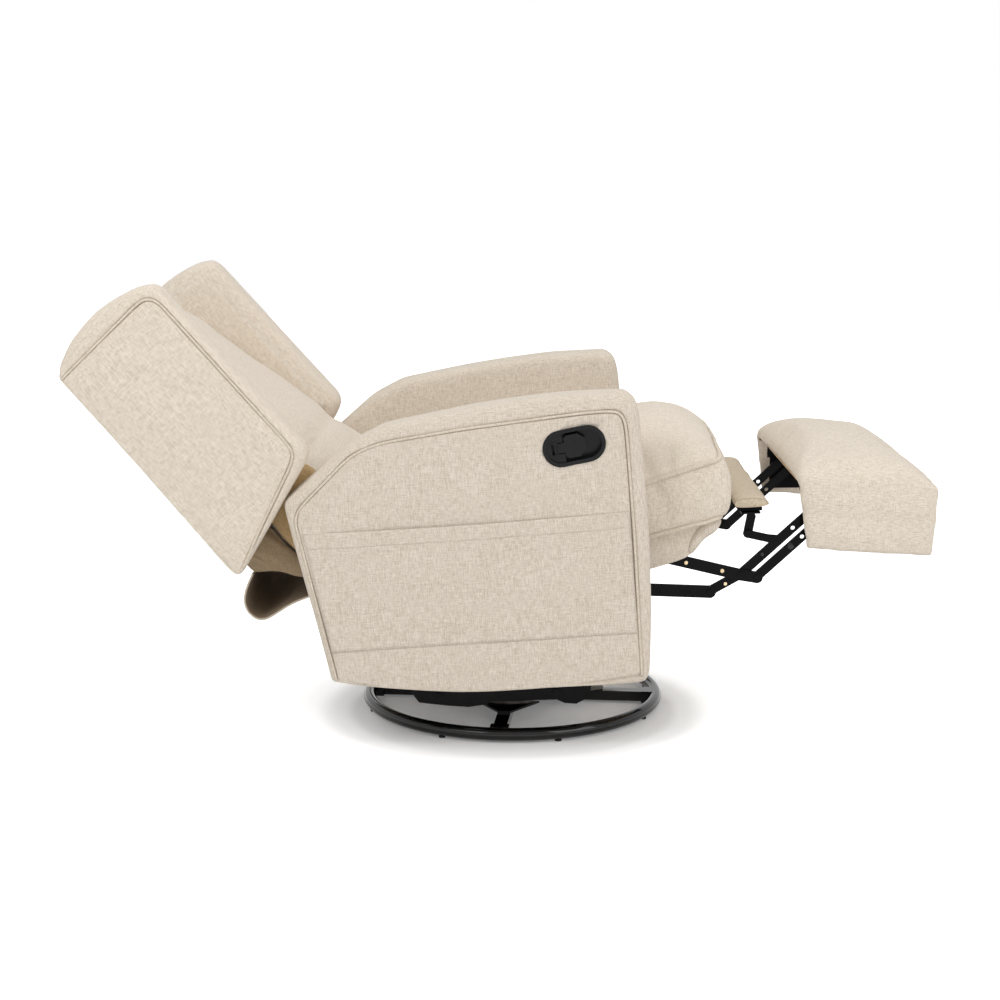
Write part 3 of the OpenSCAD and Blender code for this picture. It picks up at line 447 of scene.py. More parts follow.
# The weave's flecks a metre across and along, and its threads
FLECK_ACROSS, FLECK_ALONG, FINE, CLOUD, THREADS = 800, 80, 1500, 9, 210.0


def linen(name, tones, turn):
    """Heathered weave: flecks along three directions, turned with the piece, over fine threads."""
    mat = bpy.data.materials.new(name)
    mat.use_nodes = True
    nt = mat.node_tree
    nd, ln = nt.nodes, nt.links
    nd.clear()
    out = nd.new("ShaderNodeOutputMaterial")
    bsdf = nd.new("ShaderNodeBsdfPrincipled")
    ln.new(bsdf.outputs[0], out.inputs[0])
    tex = nd.new("ShaderNodeTexCoord")
    laid = set_inputs(nd.new("ShaderNodeMapping"), Rotation=(0, math.radians(turn), 0))
    ln.new(tex.outputs["Object"], laid.inputs["Vector"])

    def grain(*stretch):
        m = set_inputs(nd.new("ShaderNodeMapping"), Scale=stretch)
        ln.new(laid.outputs[0], m.inputs["Vector"])
        return noise_node(nt, m.outputs[0], Scale=1.0, Detail=2.0, Roughness=0.5)

    def bands(axis):
        w = set_inputs(nd.new("ShaderNodeTexWave"), Scale=THREADS, Distortion=1.4, Detail=1.0)
        w.wave_type = "BANDS"
        w.bands_direction = axis
        ln.new(laid.outputs[0], w.inputs["Vector"])
        return w.outputs["Fac"]

    upright = grain(FLECK_ACROSS, FLECK_ACROSS, FLECK_ALONG)
    along = grain(FLECK_ALONG, FLECK_ACROSS, FLECK_ACROSS)
    across = grain(FLECK_ACROSS, FLECK_ALONG, FLECK_ACROSS)
    flecks = total(nt, (upright, 0.42), (along, 0.32), (across, 0.26))
    tone = total(nt, (flecks, 0.86), (grain(FINE, FINE, FINE), 0.12), (grain(CLOUD, CLOUD, CLOUD), 0.02))
    base, light, dark = tones
    ln.new(ramp_node(nt, tone, ((0.40, dark), (0.5, base), (0.60, light))), bsdf.inputs["Base Color"])
    set_inputs(bsdf, Roughness=0.9, Specular_IOR_Level=0.2, Sheen_Weight=0.12, Sheen_Roughness=0.6)
    height = total(nt, (flecks, 2.2), *((bands(axis), 0.12) for axis in "XYZ"))
    ln.new(bump_node(nt, height, 0.5, 0.0006), bsdf.inputs["Normal"])
    return mat


def finish_material(
        name, color, rough, spot, grain, metal=0.0, coat=0.0, bump=0.0, shine=0.5, stretch=(1, 1, 1)):
    """Hard finish with uneven gloss, faint colour change and surface grain."""
    mat = bpy.data.materials.new(name)
    mat.use_nodes = True
    nt = mat.node_tree
    nd, ln = nt.nodes, nt.links
    bsdf = nd["Principled BSDF"]
    set_inputs(bsdf, Metallic=metal, Coat_Weight=coat, Coat_Roughness=0.08, Specular_IOR_Level=shine)
    tex = nd.new("ShaderNodeTexCoord")
    m = set_inputs(nd.new("ShaderNodeMapping"), Scale=stretch)
    ln.new(tex.outputs["Object"], m.inputs["Vector"])
    spots = noise_node(nt, m.outputs[0], Scale=grain[0], Detail=4.0)
    gloss = set_inputs(nd.new("ShaderNodeMapRange"), To_Min=rough * 0.8, To_Max=min(1.0, rough * 1.25))
    ln.new(spots, gloss.inputs["Value"])
    ln.new(gloss.outputs[0], bsdf.inputs["Roughness"])
    c = np.array(color)
    stops = ((0.35, c * (1 - spot)), (0.65, np.minimum(c * (1 + spot), 1)))
    ln.new(ramp_node(nt, spots, stops), bsdf.inputs["Base Color"])
    if bump:
        fine = noise_node(nt, m.outputs[0], Scale=grain[1])
        ln.new(bump_node(nt, fine, bump, 0.0005), bsdf.inputs["Normal"])
    return mat


# Cloth tones: middle, light, dark
CREAM = (0.70, 0.62, 0.52), (0.82, 0.74, 0.64), (0.56, 0.475, 0.375)
# Painted shade: a darker copy of the cream cloth for the arms and their pockets
CREAM_ARM_SHADED = (0.645, 0.57, 0.478), (0.757, 0.683, 0.59), (0.51, 0.435, 0.344)
CREAM_PAD = (0.64, 0.545, 0.41), (0.75, 0.655, 0.52), (0.51, 0.415, 0.285)
CREAM_TRIM = (0.66, 0.58, 0.475), (0.77, 0.69, 0.585), (0.53, 0.445, 0.345)
# Painted shade: brown for the inner face of the rear flap's loop, which lies in shade
BROWN_SHADE = (0.34, 0.255, 0.165), (0.44, 0.34, 0.23), (0.24, 0.17, 0.10)
# Painted shade: dark brown for the outer back's tail and end faces, which lie in deep shade
BROWN_DEEP_SHADE = (0.34, 0.245, 0.145), (0.43, 0.32, 0.20), (0.25, 0.17, 0.095)
# Painted shade: golden tone for cloth deep in the gaps, standing in for shade and the light bounced off cream
# cloth
GOLDEN_SHADE = (0.58, 0.41, 0.21), (0.68, 0.50, 0.28), (0.44, 0.29, 0.13)
LINEN = linen("linen_cloth", CREAM, LEAN)
LINEN_ARM_SHADED = linen("linen_arm_shaded_cloth", CREAM_ARM_SHADED, LEAN)
LINEN_REST = linen("linen_rest_cloth", CREAM, 90 - LEAN)
TRIM_WARM = linen("linen_pad_cloth", CREAM_PAD, LEAN + 45)
LINEN_BACK = linen("linen_back_cloth", CREAM, LEAN + BACK_LEAN)
TRIM = linen("linen_trim_cloth", CREAM_TRIM, LEAN + 45)
FLAP_INNER_SHADE = linen("flap_inner_shade_cloth", BROWN_SHADE, LEAN)
DEEP = linen("painted_deep_shade_cloth", BROWN_DEEP_SHADE, LEAN + BACK_LEAN)
SHADE = linen("painted_golden_shade_cloth", GOLDEN_SHADE, LEAN + BACK_LEAN)

BLACK = (0.003, 0.003, 0.0033)
THREAD = finish_material(
    "sewing_thread", (0.74, 0.67, 0.57), rough=0.6, spot=0.12, grain=(300, 900), bump=0.1)
STEEL = finish_material(
    "black_paint", BLACK, rough=0.20, spot=0.3, grain=(30, 500), bump=0.05, shine=0.07)
GLOSS = finish_material(
    "ring_paint", BLACK, rough=0.04, spot=0.25, grain=(24, 400), coat=0.14, bump=0.01, shine=0.3)
ZINC = finish_material(
    "zinc_plate", (0.62, 0.58, 0.50), rough=0.34, spot=0.15, grain=(80, 700), metal=1.0, bump=0.08)
BRASS = finish_material(
    "yellow_zinc", (0.66, 0.52, 0.33), rough=0.32, spot=0.2, grain=(80, 700), metal=1.0, bump=0.08)
WIRE = finish_material(
    "spring_wire_steel", (0.42, 0.42, 0.44), rough=0.38, spot=0.15, grain=(90, 900), metal=1.0, bump=0.06)
TIMBER = finish_material(
    "plain_timber", (0.55, 0.37, 0.20), rough=0.62, spot=0.28, grain=(16, 300), bump=0.15, stretch=(1, 1, 9))
PLASTIC = finish_material(
    "black_plastic_moulded", (0.005, 0.005, 0.0054),
    rough=0.20, spot=0.2, grain=(60, 900), bump=0.03, shine=0.2)
RUBBER = finish_material(
    "rubber_black", (0.01, 0.01, 0.01), rough=0.6, spot=0.2, grain=(60, 900), bump=0.2, shine=0.2)
DUST = finish_material(
    "dust_cloth_black", (0.006, 0.006, 0.0065), rough=0.85, spot=0.35, grain=(220, 900), bump=0.5, shine=0.1)

CAD_FINISH = {
    "base_ring": GLOSS, "base_cross": GLOSS, "base_feet": RUBBER,
    "swivel_race_lower": ZINC, "swivel_race_upper": ZINC, "swivel_balls": ZINC, "swivel_rivet": ZINC,
    "seat_springs": WIRE, "back_springs": WIRE,
    "arm_frames": TIMBER, "rear_rail": TIMBER, "seat_frame": TIMBER, "back_frame": TIMBER,
    "rest_board": TIMBER,
    "handle_cup": PLASTIC, "handle_paddle": PLASTIC, "release_cable": RUBBER, "deck_cloth": DUST,
}
for node_name, node_ob in NODES.items():
    node_ob.data.materials.clear()
    node_ob.data.materials.append(CAD_FINISH.get(node_name, STEEL))


def dress(ob, material, body, *stands_for, slot="linen"):
    ob.data.materials.clear()
    ob.data.materials.append(material)
    if stands_for:
        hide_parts(*stands_for)
    if body:
        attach(ob, body)
    return ob


def second_cloth(ob, material, place, test):
    """Another material where a test on a face's centre and normal, in a body's millimetres, holds."""
    ob.data.materials.append(material)
    inward, turn = (TO_M @ place).inverted(), place.inverted().to_3x3()
    for f in ob.data.polygons:
        if test(inward @ f.center, turn @ f.normal):
            f.material_index = 1


# Arms

ARM = [
    (-332, 59), (-300, 50), (-208, 34), (-79, 20), (100, 18), (232, 17), (246, 20), (254, 32), (264, 130),
    (270, 273), (262, 525), (256, 545), (240, 558), (120, 561), (-40, 549), (-203, 525), (-268, 495),
    (-391, 401), (-393, 394), (-386, 356),
]
ARM_PIPE = [
    (-322, 60), (-336, 139), (-369, 337), (-374, 362), (-366, 386), (-264, 478), (-213, 497), (-63, 513),
    (154, 528), (212, 529), (229, 522), (236, 500), (240, 300), (240, 34),
]
ARM_PANEL = ARM_PIPE + [(100, 20), (-79, 22), (-208, 36)]
CORD_R, CORD_SINK = 2.5, 0.2
CUP_GAP, CUP_START = 1.0, 12.0


def cord(name, points, side, place):
    """Piping laid in the seam round a panel."""
    path = [(x, side * (HALF_W - CORD_SINK), z) for x, z in smooth_path(points, 5)]
    return tube(name, path, CORD_R, place)


for side, word in SIDES:
    arm = slab_pad(
        "arm_cover_" + word, ARM, IN_Y, HALF_W, BODY_AT, side,
        count=420, sharp=170, rim=(18, 14), crown=(2, 1.5), panel=ARM_PANEL)
    ripple(arm, size=180, height=1.2, seed=3 + side)
    if side < 0:
        cup = stadium(CUP_AT, CUP_TURN, CUP_LEN + CUP_GAP, CUP_WIDE + CUP_GAP)
        cut_hole(arm, "cup_cutter", cup, -HALF_W - CUP_START, -HALF_W + CUP_DEEP + CUP_GAP / 2, BODY_AT)
    dress(arm, LINEN_ARM_SHADED, "body", "arm_" + word)
    pipe = cord("arm_cord_" + word, ARM_PIPE, side, BODY_AT)
    dress(pipe, TRIM, "body", "arm_piping_" + word, slot="linen_trim")

# Wings

WING = [
    (-236, 286), (-234, 275), (-226, 269), (-79, 316), (0, 341), (14, 350), (21, 366), (21, 742), (15, 760),
    (-8, 774), (-60, 788), (-106, 792), (-160, 784), (-205, 766), (-221, 750),
]
WING_PIPE = [
    (-219, 745), (-24, 752), (-8, 749), (3, 739), (7, 722), (3, 382), (-4, 366), (-20, 356), (-86, 330),
    (-143, 308), (-194, 284), (-222, 273),
]
WING_PANEL = WING_PIPE + [(-231, 277), (-233, 290), (-223, 735)]
for side, word in SIDES:
    wing = slab_pad(
        "wing_cover_" + word, WING, HALF_W - WING_T, HALF_W, BACK_AT, side,
        count=400, sharp=150, rim=(22, 13), crown=(3, 1.5), panel=WING_PANEL)
    ripple(wing, size=160, height=1.2, seed=8 + side)
    dress(wing, LINEN_BACK, "back", "wing_" + word)
    pipe = cord("wing_cord_" + word, WING_PIPE, side, BACK_AT)
    dress(pipe, TRIM, "back", "wing_piping_" + word, slot="linen_trim")


# Cushions

def blend_pts(a, b, f):
    return np.array(a, float) + (np.array(b, float) - np.array(a, float)) * f


def resample(points, count, closed=True):
    """Even points along an outline whose corners are cut round."""
    p = smooth_path(points, 1.5, closed=closed, turn=2)
    q = np.vstack([p, p[:1]]) if closed else p
    out = at_lengths(q, np.linspace(0, lengths(q)[-1], count + (1 if closed else 0)))
    return out[:-1] if closed else out


def seam_tree(path):
    tree = KDTree(len(path))
    for i, p in enumerate(path):
        tree.insert(Vector(p), i)
    tree.balance()
    return tree


PRESSURE, SHRINK, FRAMES = 4.0, -0.012, 16


def simulate(ob, pins, cap, voxel=6.5, hold=7.0):
    """Swells a closed mesh with cloth, held along its seams, and applies the result.

    No vertex moves further than cap; voxel is the mesh size and hold the width held, all in millimetres.
    """
    m = ob.modifiers.new("remesh", "REMESH")
    m.mode = "VOXEL"
    m.voxel_size = voxel / 1000
    apply_modifiers(ob)
    start = verts_of(ob)
    group = ob.vertex_groups.new(name="pin")
    tree = seam_tree(pins)
    for i, c in enumerate(start):
        near = tree.find(Vector(c))[2] * 1000
        if near < hold:
            group.add([i], 1.0 if near < hold * 0.6 else 0.5, "REPLACE")
    cloth = ob.modifiers.new("cloth", "CLOTH")
    s = cloth.settings
    s.quality = 4
    s.mass = 0.4
    s.use_pressure = True
    s.uniform_pressure_force = PRESSURE
    s.tension_stiffness = s.compression_stiffness = 18
    s.shear_stiffness = 8
    s.bending_stiffness = 1.2
    s.shrink_min = SHRINK
    s.vertex_group_mass = "pin"
    s.effector_weights.gravity = 0
    cloth.point_cache.frame_start, cloth.point_cache.frame_end = 1, FRAMES
    scene = bpy.context.scene
    for f in range(1, FRAMES + 1):
        scene.frame_set(f)
    dg = bpy.context.evaluated_depsgraph_get()
    ev = ob.evaluated_get(dg)
    move = verts_of(ev) - start
    far = np.linalg.norm(move, axis=1)
    top = cap / 1000
    keep = np.where(far > 1e-9, top * np.tanh(far / top) / np.maximum(far, 1e-9), 1.0)
    ob.modifiers.clear()
    ob.vertex_groups.clear()
    set_verts(ob, start + move * keep[:, None])
    scene.frame_set(1)
    m = ob.modifiers.new("smooth", "SMOOTH")
    m.factor, m.iterations = 0.5, 3
    apply_modifiers(ob)


def groove(ob, path, depth, width, pucker, reach, pitch, seed):
    """Draws a mesh in along a seam, with small puckers running away from it. Path in metres."""
    tree = seam_tree(path)
    co, nr = verts_of(ob), normals_of(ob)
    run = lengths(path) * 1000
    move = np.zeros(len(co))
    for i, c in enumerate(co):
        _, k, d = tree.find(Vector(c))
        d *= 1000
        if d < reach * 1.6:
            move[i] = -depth * math.exp(-((d / width) ** 2))
            wave = noise.noise(Vector((run[k] / pitch, seed * 5.3, d / 60.0)))
            move[i] += pucker * wave * math.exp(-d / reach) * min(1.0, d / 5.0)
    set_verts(ob, co + nr * (move / 1000)[:, None])


def snapped(ob, path, lift):
    """A path laid on a mesh, in metres, a little proud of it."""
    dg = bpy.context.evaluated_depsgraph_get()
    ev = ob.evaluated_get(dg)
    out = []
    for p in path:
        ok, at, nr, _ = ev.closest_point_on_mesh(Vector(p))
        out.append(np.array(at + nr * (lift / 1000)) if ok else np.array(p))
    out = np.array(out)
    for _ in range(2):
        out[1:-1] = (out[:-2] + 2 * out[1:-1] + out[2:]) / 4
    return out


def world_path(points, place):
    m = TO_M @ place
    return np.array([m @ Vector(p) for p in points])


WELT_R, WELT_LIFT = 4.0, 3.0


def welt(name, ob, path):
    """Piping cord laid along a seam of a mesh, path in metres."""
    p = snapped(ob, path, WELT_LIFT) * 1000
    return tube(name, p, WELT_R, Matrix.Identity(4), normal=(0.03, 1, 0.02))


SEAT_SIDE = [
    (416, 297), (427, 316), (430, 345), (428, 375), (423, 400), (413, 411), (380, 403), (300, 382),
    (140, 339), (0, 301), (-85, 279), (-106, 270), (-108, 232), (-101, 193),
]
SEAT_MID = [
    (420, 297.5), (434, 320), (438, 350), (434, 390), (422, 425), (388, 460), (340, 476), (272, 474),
    (140, 442), (0, 400), (-85, 352), (-112, 322), (-118, 240), (-101, 193),
]
SEAT_TOP_SEAM = [(-85, 279), (0, 301), (140, 339), (300, 382), (380, 403), (411, 410)]
SEAT_LOW_SEAM = [(-95, 195), (200, 254.5), (413, 297.5)]
SEAM_FRONT_MID, SEAM_FRONT_TOP, SEAM_FRONT_SWELL = (418, 0, 298.5), (413, 411), (9, 14)
SWELL_POWER = 2.4

# Insets of a cushion's end, as shares of the way to its middle, and its rise there
CUSHION_END = ((0.012, 2.0), (0.10, 4.5), (0.35, 6.0), (0.7, 6.5))
SEAT_PINCH = 1.5


def lofted_cushion(name, side_pts, mid_pts, half, place, count=150, rings=31):
    """Closed cushion whose outline goes from its middle form to its side form."""
    rows = []
    for f in np.sin(np.linspace(-math.pi / 2, math.pi / 2, rings)):
        w = 1 - abs(f) ** SWELL_POWER
        p = resample(blend_pts(side_pts, mid_pts, w), count)
        rows.append([(x, f * half, z) for x, z in p])
    for sgn, at in ((-1, 0), (1, -1)):
        edge = np.array(rows[at])
        mid = edge.mean(0)
        for inset, out in CUSHION_END:
            r = edge + (mid - edge) * inset
            r[:, 1] = sgn * (half - 1.0 + (out - CUSHION_END[-1][1]) * 0.4)
            if sgn < 0:
                rows.insert(0, [tuple(v) for v in r])
            else:
                rows.append([tuple(v) for v in r])
    return loft(name, rows, place)


def seat_seams():
    """Top and bottom seams of the seat cushion, in body millimetres."""
    top = [(x, -SEAT_HALF, z) for x, z in SEAT_TOP_SEAM]
    for y in np.linspace(-SEAT_HALF, SEAT_HALF, 25)[1:-1]:
        w = 1 - abs(y / SEAT_HALF) ** SWELL_POWER
        x, z = (at + swell * w for at, swell in zip(SEAM_FRONT_TOP, SEAM_FRONT_SWELL))
        top.append((x, y, z))
    top += [(x, SEAT_HALF, z) for x, z in SEAT_TOP_SEAM[::-1]]
    bottom = [(x, -SEAT_HALF, z) for x, z in SEAT_LOW_SEAM] + [SEAM_FRONT_MID]
    bottom += [(x, SEAT_HALF, z) for x, z in SEAT_LOW_SEAM[::-1]]
    return top, bottom


seat = lofted_cushion("seat_cushion_cover", SEAT_SIDE, SEAT_MID, SEAT_HALF - SEAT_PINCH, BODY_AT)
top_seam, bottom_seam = (world_path(smooth_path(p, 5), BODY_AT) for p in seat_seams())
simulate(seat, np.vstack([top_seam, bottom_seam]), cap=12.0)
groove(seat, top_seam, depth=4.5, width=6.0, pucker=3.0, reach=60, pitch=20, seed=1.0)
groove(seat, bottom_seam, depth=5.0, width=6.0, pucker=2.4, reach=35, pitch=18, seed=2.0)
ripple(seat, size=140, height=2.5, seed=21)
dress(seat, LINEN, "seat", "seat_cushion")
for name, path in (("seat_welt_top", top_seam), ("seat_welt_bottom", bottom_seam)):
    dress(welt(name, seat, path), TRIM, "seat", slot="linen_trim")

BACK_MID = [
    (-150, 742), (-150, 217), (-62, 126), (-42, 72), (6, 50), (32, 58), (41, 84), (42, 120), (38, 170),
    (35, 230), (28, 290), (14, 350), (-6, 430), (-25, 510), (-43, 590), (-58, 660), (-72, 715), (-90, 736),
    (-114, 748),
]
BACK_SIDE = [
    (-150, 736), (-150, 217), (-66, 132), (-50, 84), (-2, 64), (14, 70), (20, 90), (20, 124), (14, 172),
    (2, 230), (-10, 290), (-23, 350), (-41, 430), (-58, 510), (-74, 590), (-87, 660), (-98, 706),
    (-106, 726), (-118, 734),
]
BACK_FRONT = slice(5, 18)
WING_GAP_HALF, LUMBAR_HALF, LUMBAR_Z = 305.0, 280, 352
WIDEN_FROM, WIDEN_OVER, WIDEN_SEAM = 345, 30, 372
LOW_EDGE_TOP, LOW_EDGE_OVER, LOW_EDGE_SINK = 230, 110, 4.0
SIDE_SEAM = (90, 705)


def back_front(z, y):
    """Front face of the back cushion at a height and a place across it."""
    mx, mz = zip(*BACK_MID[BACK_FRONT])
    sx, sz = zip(*BACK_SIDE[BACK_FRONT])
    w = 1 - min(1.0, abs(y) / SEAT_HALF) ** SWELL_POWER
    return np.interp(z, sz, sx) * (1 - w) + np.interp(z, mz, mx) * w


def shape_back(ob):
    """Widens the cushion between the wings and thins its lower front."""
    m = TO_M @ BACK_AT
    inv = m.inverted()
    loc = np.array([inv @ Vector(c) for c in verts_of(ob)])
    k = np.clip((loc[:, 2] - WIDEN_FROM) / WIDEN_OVER, 0, 1)
    loc[:, 1] *= 1 + (WING_GAP_HALF / SEAT_HALF - 1) * k * k * (3 - 2 * k)
    low = np.clip((LOW_EDGE_TOP - loc[:, 2]) / LOW_EDGE_OVER, 0, 1)
    loc[:, 0] -= np.where(loc[:, 0] > -30, LOW_EDGE_SINK * low, 0)
    set_verts(ob, np.array([m @ Vector(c) for c in loc]))


def back_seams():
    """Lumbar seam and the two seams along the sides, in metres."""
    lumbar = [(back_front(LUMBAR_Z, y), y, LUMBAR_Z) for y in np.linspace(-LUMBAR_HALF, LUMBAR_HALF, 60)]
    edges = []
    for side in (-1, 1):
        edge = []
        for z in np.linspace(*SIDE_SEAM, 40):
            wide = WING_GAP_HALF if z > WIDEN_SEAM else SEAT_HALF
            edge.append((back_front(z, SEAT_HALF) - 1, side * wide, z))
        edges.append(world_path(edge, BACK_AT))
    return world_path(lumbar, BACK_AT), edges


back = lofted_cushion("back_cushion_cover", BACK_SIDE, BACK_MID, SEAT_HALF - SEAT_PINCH, BACK_AT)
shape_back(back)
lumbar_seam, side_seams = back_seams()
simulate(back, np.vstack(side_seams), cap=9.0)
groove(back, lumbar_seam, depth=5.0, width=18.0, pucker=1.6, reach=60, pitch=26, seed=3.0)
for k, seam in enumerate(side_seams):
    groove(back, seam, depth=3.0, width=6.0, pucker=2.4, reach=50, pitch=22, seed=4.0 + k)
ripple(back, size=150, height=2.5, seed=31)
dress(back, LINEN_BACK, "back", "back_cushion")
# Painted shade: the back cushion's sides, low down where they show between wing and arm, take the golden
# painted shade
second_cloth(back, SHADE, BACK_AT, lambda at, way: abs(at.y) > SEAT_HALF - 10 and at.z < 350 and at.x < -8)

# Outer back

SHELL = [
    (-231, 250), (-226, 246), (-190, 217), (-174, 182), (-62, 112), (-63, 124), (-151, 217), (-151, 744),
    (-226, 744),
]
SHELL_WIDE, SHELL_STEP_Z, SHELL_STEP, SHELL_TAIL_Z = 305.5, 296, 10, 214


def make_shell():
    narrow = SEAT_HALF - 0.5
    rows = []
    for f in np.sin(np.linspace(-math.pi / 2, math.pi / 2, 25)):
        crown = 3.0 * (1 - abs(f) ** 4)
        row = []
        for x, z in resample(SHELL, 160):
            wide = narrow + (SHELL_WIDE - narrow) * min(1, max(0, (z - SHELL_STEP_Z) / SHELL_STEP))
            row.append((x - (crown if x < -200 else 0), f * wide, z))
        rows.append(row)
    return loft("back_panel_cover", rows, BACK_AT, "flat")


shell = make_shell()
ripple(shell, size=200, height=2.0, seed=41)
dress(shell, TRIM, "back", "back_shell", slot="linen_trim")
# Painted shade: the shell's lower tail and its end faces take the dark brown painted shade
second_cloth(shell, DEEP, BACK_AT, lambda at, way: at.z < SHELL_TAIL_Z or abs(way.y) > 0.8)

# Footrest

REST_TOP = [
    (287, -124), (287, -40), (286.5, 0), (284, 15), (278, 27), (268, 36), (250, 43), (220, 49), (180, 55),
    (130, 60), (70, 65), (0, 67),
]
# Front slope: its height at the rear edge, and its fall
REST_SLOPE, REST_FALL = 190.0, 0.707
REST_ROUND_Z, REST_ROUND, REST_CORNER = -112, 12, 2
REST_REAR, REST_LONG, REST_FLAP_LOW, REST_SLANT = -2, 260, 124, 21
REST_FAR_REAR, REST_FAR_SHARE = 8, 0.95


def rest_cover():
    """Waterfall pad: one skin over the top and down both sides."""
    half = resample(REST_TOP, 46, closed=False)
    outer = [tuple(v) for v in half] + [(-y, w) for y, w in half[::-1][1:]]
    inside = REST_HALF - REST_FLAP_T + 0.5
    inner = []
    for y, w in outer:
        inner.append((math.copysign(inside, y), w) if w <= -1 else (max(-inside, min(inside, y)), 0.0))
    rows = []
    for xi in np.sin(np.linspace(-math.pi / 2, math.pi / 2, 41)):
        row = []
        for part, lowered in ((outer, False), (inner[::-1], True)):
            for y, w in part:
                up = max(w, 0.0)
                bulge = min(1.0, up / 30.0)
                t = min(1.0, max(0.0, (REST_ROUND_Z - w) / REST_ROUND))
                cut = REST_CORNER * (1 - math.sqrt(1 - t * t))
                far = REST_FAR_REAR * max(0.0, y / REST_HALF)
                lo = REST_REAR - min(w, 0) * REST_SLANT / REST_FLAP_LOW + cut - far
                hi = REST_LONG + min(w, 0) / REST_FLAP_LOW - cut
                shape = (1 - abs(xi) ** 5.0) ** 0.42 if xi > 0 else (1 - abs(xi) ** 6.0) ** 0.40
                u = lo + (hi - lo) * (xi + 1) / 2
                z = w if (w <= 0 or lowered) else w * shape * (1 - 0.06 * xi * xi)
                if z > 0:
                    slope = max(REST_SLOPE - REST_FALL * u, 1.0)
                    z = (z ** -7 + slope ** -7) ** (-1 / 7)
                elif y > 0:
                    z *= REST_FAR_SHARE
                if xi < 0 and not lowered:
                    u -= 9 * bulge * math.sin(math.pi * min(1.0, max(z, 0) / 46)) * abs(xi) ** 4
                if not lowered and w < 0:
                    y -= math.copysign(4.0 * abs(xi) ** 14, y)
                row.append((u, y, z))
        rows.append(row)
    return loft("footrest_cover", rows, REST_FRAME, "pairs")


def rest_underside(at, way):
    """Faces of the pad's hollow side, apart from the hems of its flaps."""
    hidden = way.z < -0.3 or way.y * at.y < 0
    low, rear = (-105, 10) if at.y > 0 else (-114, 12)
    hem = at.z < -4 and (at.z < low or at.x < rear - at.z * 0.17)
    under = abs(at.y) < REST_HALF - REST_FLAP_T + 4 and at.z < 3 and abs(way.x) < 0.7
    return under and hidden and not hem


rest = rest_cover()
hold = []
for side in (-1, 1):
    hold += [(u, side * 280, w) for u in np.linspace(0, 262, 60) for w in (-124, -60, -2)]
hold += [(u, y, 0) for u in np.linspace(5, 255, 30) for y in np.linspace(-260, 260, 50)]
simulate(rest, world_path(hold, REST_FRAME), cap=7.0, voxel=6.0, hold=10.0)
ripple(rest, size=110, height=2.2, seed=51)
dress(rest, LINEN_REST, "footrest", "rest_pad", "rest_flap_left", "rest_flap_right")
second_cloth(rest, DUST, REST_FRAME, rest_underside)

# Small front pad

FLIP = [
    (441, 316), (446, 322.5), (470, 325.5), (496, 322), (506, 314.5), (506, 309.5), (492, 305.6),
    (449, 306.7), (441, 310),
]
FLIP_BOARD = [(448, 306.1), (493, 305), (493, 298), (448, 299)]
FLIP_HALF, FLIP_BOARD_HALF = 240, 236
flip = lofted_cushion("front_pad_cover", FLIP, FLIP, FLIP_HALF, BODY_AT, count=90, rings=41)
ripple(flip, size=60, height=1.6, seed=61)
dress(flip, TRIM_WARM, "flipper", "flip_pad", slot="linen_trim")

board = slab_pad(
    "front_pad_board", FLIP_BOARD, -FLIP_BOARD_HALF, FLIP_BOARD_HALF, BODY_AT, 1,
    count=80, sharp=60, rim=(1.5, 1.5), crown=(0, 0))
dress(board, DUST, "flipper", slot="timber")

# Rivet heads and hole plugs on the links: rings as shares of a head's radius and height

HEAD_FORM = ((1.0, 0.0), (1.0, 0.55), (0.8, 0.9), (0.4, 1.0))


def heads(name, spots, radius, span, material, body):
    """Low domed heads, one at each spot on both sides."""
    verts, faces = [], []
    count = 24
    turns = np.linspace(0, 2 * math.pi, count, endpoint=False)
    for x, z in spots:
        for side in (1, -1):
            base = len(verts)
            for share, up in HEAD_FORM:
                y = side * (span[0] + (span[1] - span[0]) * up)
                r = radius * share
                verts += [(x + r * math.cos(a), y, z + r * math.sin(a)) for a in turns]
            for k in range(len(HEAD_FORM) - 1):
                for i in range(count):
                    j = (i + 1) % count
                    a = base + k * count
                    faces.append((a + i, a + j, a + count + j, a + count + i))
            faces += [tuple(range(base, base + count)), tuple(range(base + 3 * count, base + 4 * count))]
    dress(mesh_object(name, verts, faces, BODY_AT), material, body, slot="rivet")


# Name, spots, radius, inner and outer Y, material and body
HEADS = (
    ("main_link_heads", ((341.7, 211.5), (409.4, 191.2)), 4.2, (257.0, 259.8), BRASS, "main_arm"),
    ("front_link_head", ((414.8, 164.5),), 4.0, (249.5, 253.8), BRASS, "front_arm"),
    ("front_link_plug", ((487, 216.8),), 4.0, (249.5, 253.6), GLOSS, "front_arm"),
    ("carry_link_bush", ((541.4, 229.6),), 7.0, (249.5, 254.2), GLOSS, "carry_arm"),
)
for row in HEADS:
    heads(*row)

# Seat skirt

SKIRT = [
    (417, 296.8), (403, 269), (378, 258), (360, 236), (354, 229.5), (344, 233), (352, 257), (374, 288.2),
]
SKIRT_TOP, SKIRT_LOW = [(262, 268), (300, 273), (372, 287)], [(262, 203), (300, 211), (340, 222), (353, 231)]
SKIRT_Y = (262.7, 267.3)


def make_skirt():
    p = resample(SKIRT, 90)
    rows = [[(x, f * SKIRT_Y[1], z) for x, z in p] for f in np.linspace(-1, 1, 41)]
    return loft("seat_skirt_cover", rows, BODY_AT, "flat")


skirt = make_skirt()
ripple(skirt, size=60, height=2.0, seed=71, stretch=(1, 0.4, 1))
dress(skirt, LINEN, "seat", "seat_skirt", slot="linen_trim")


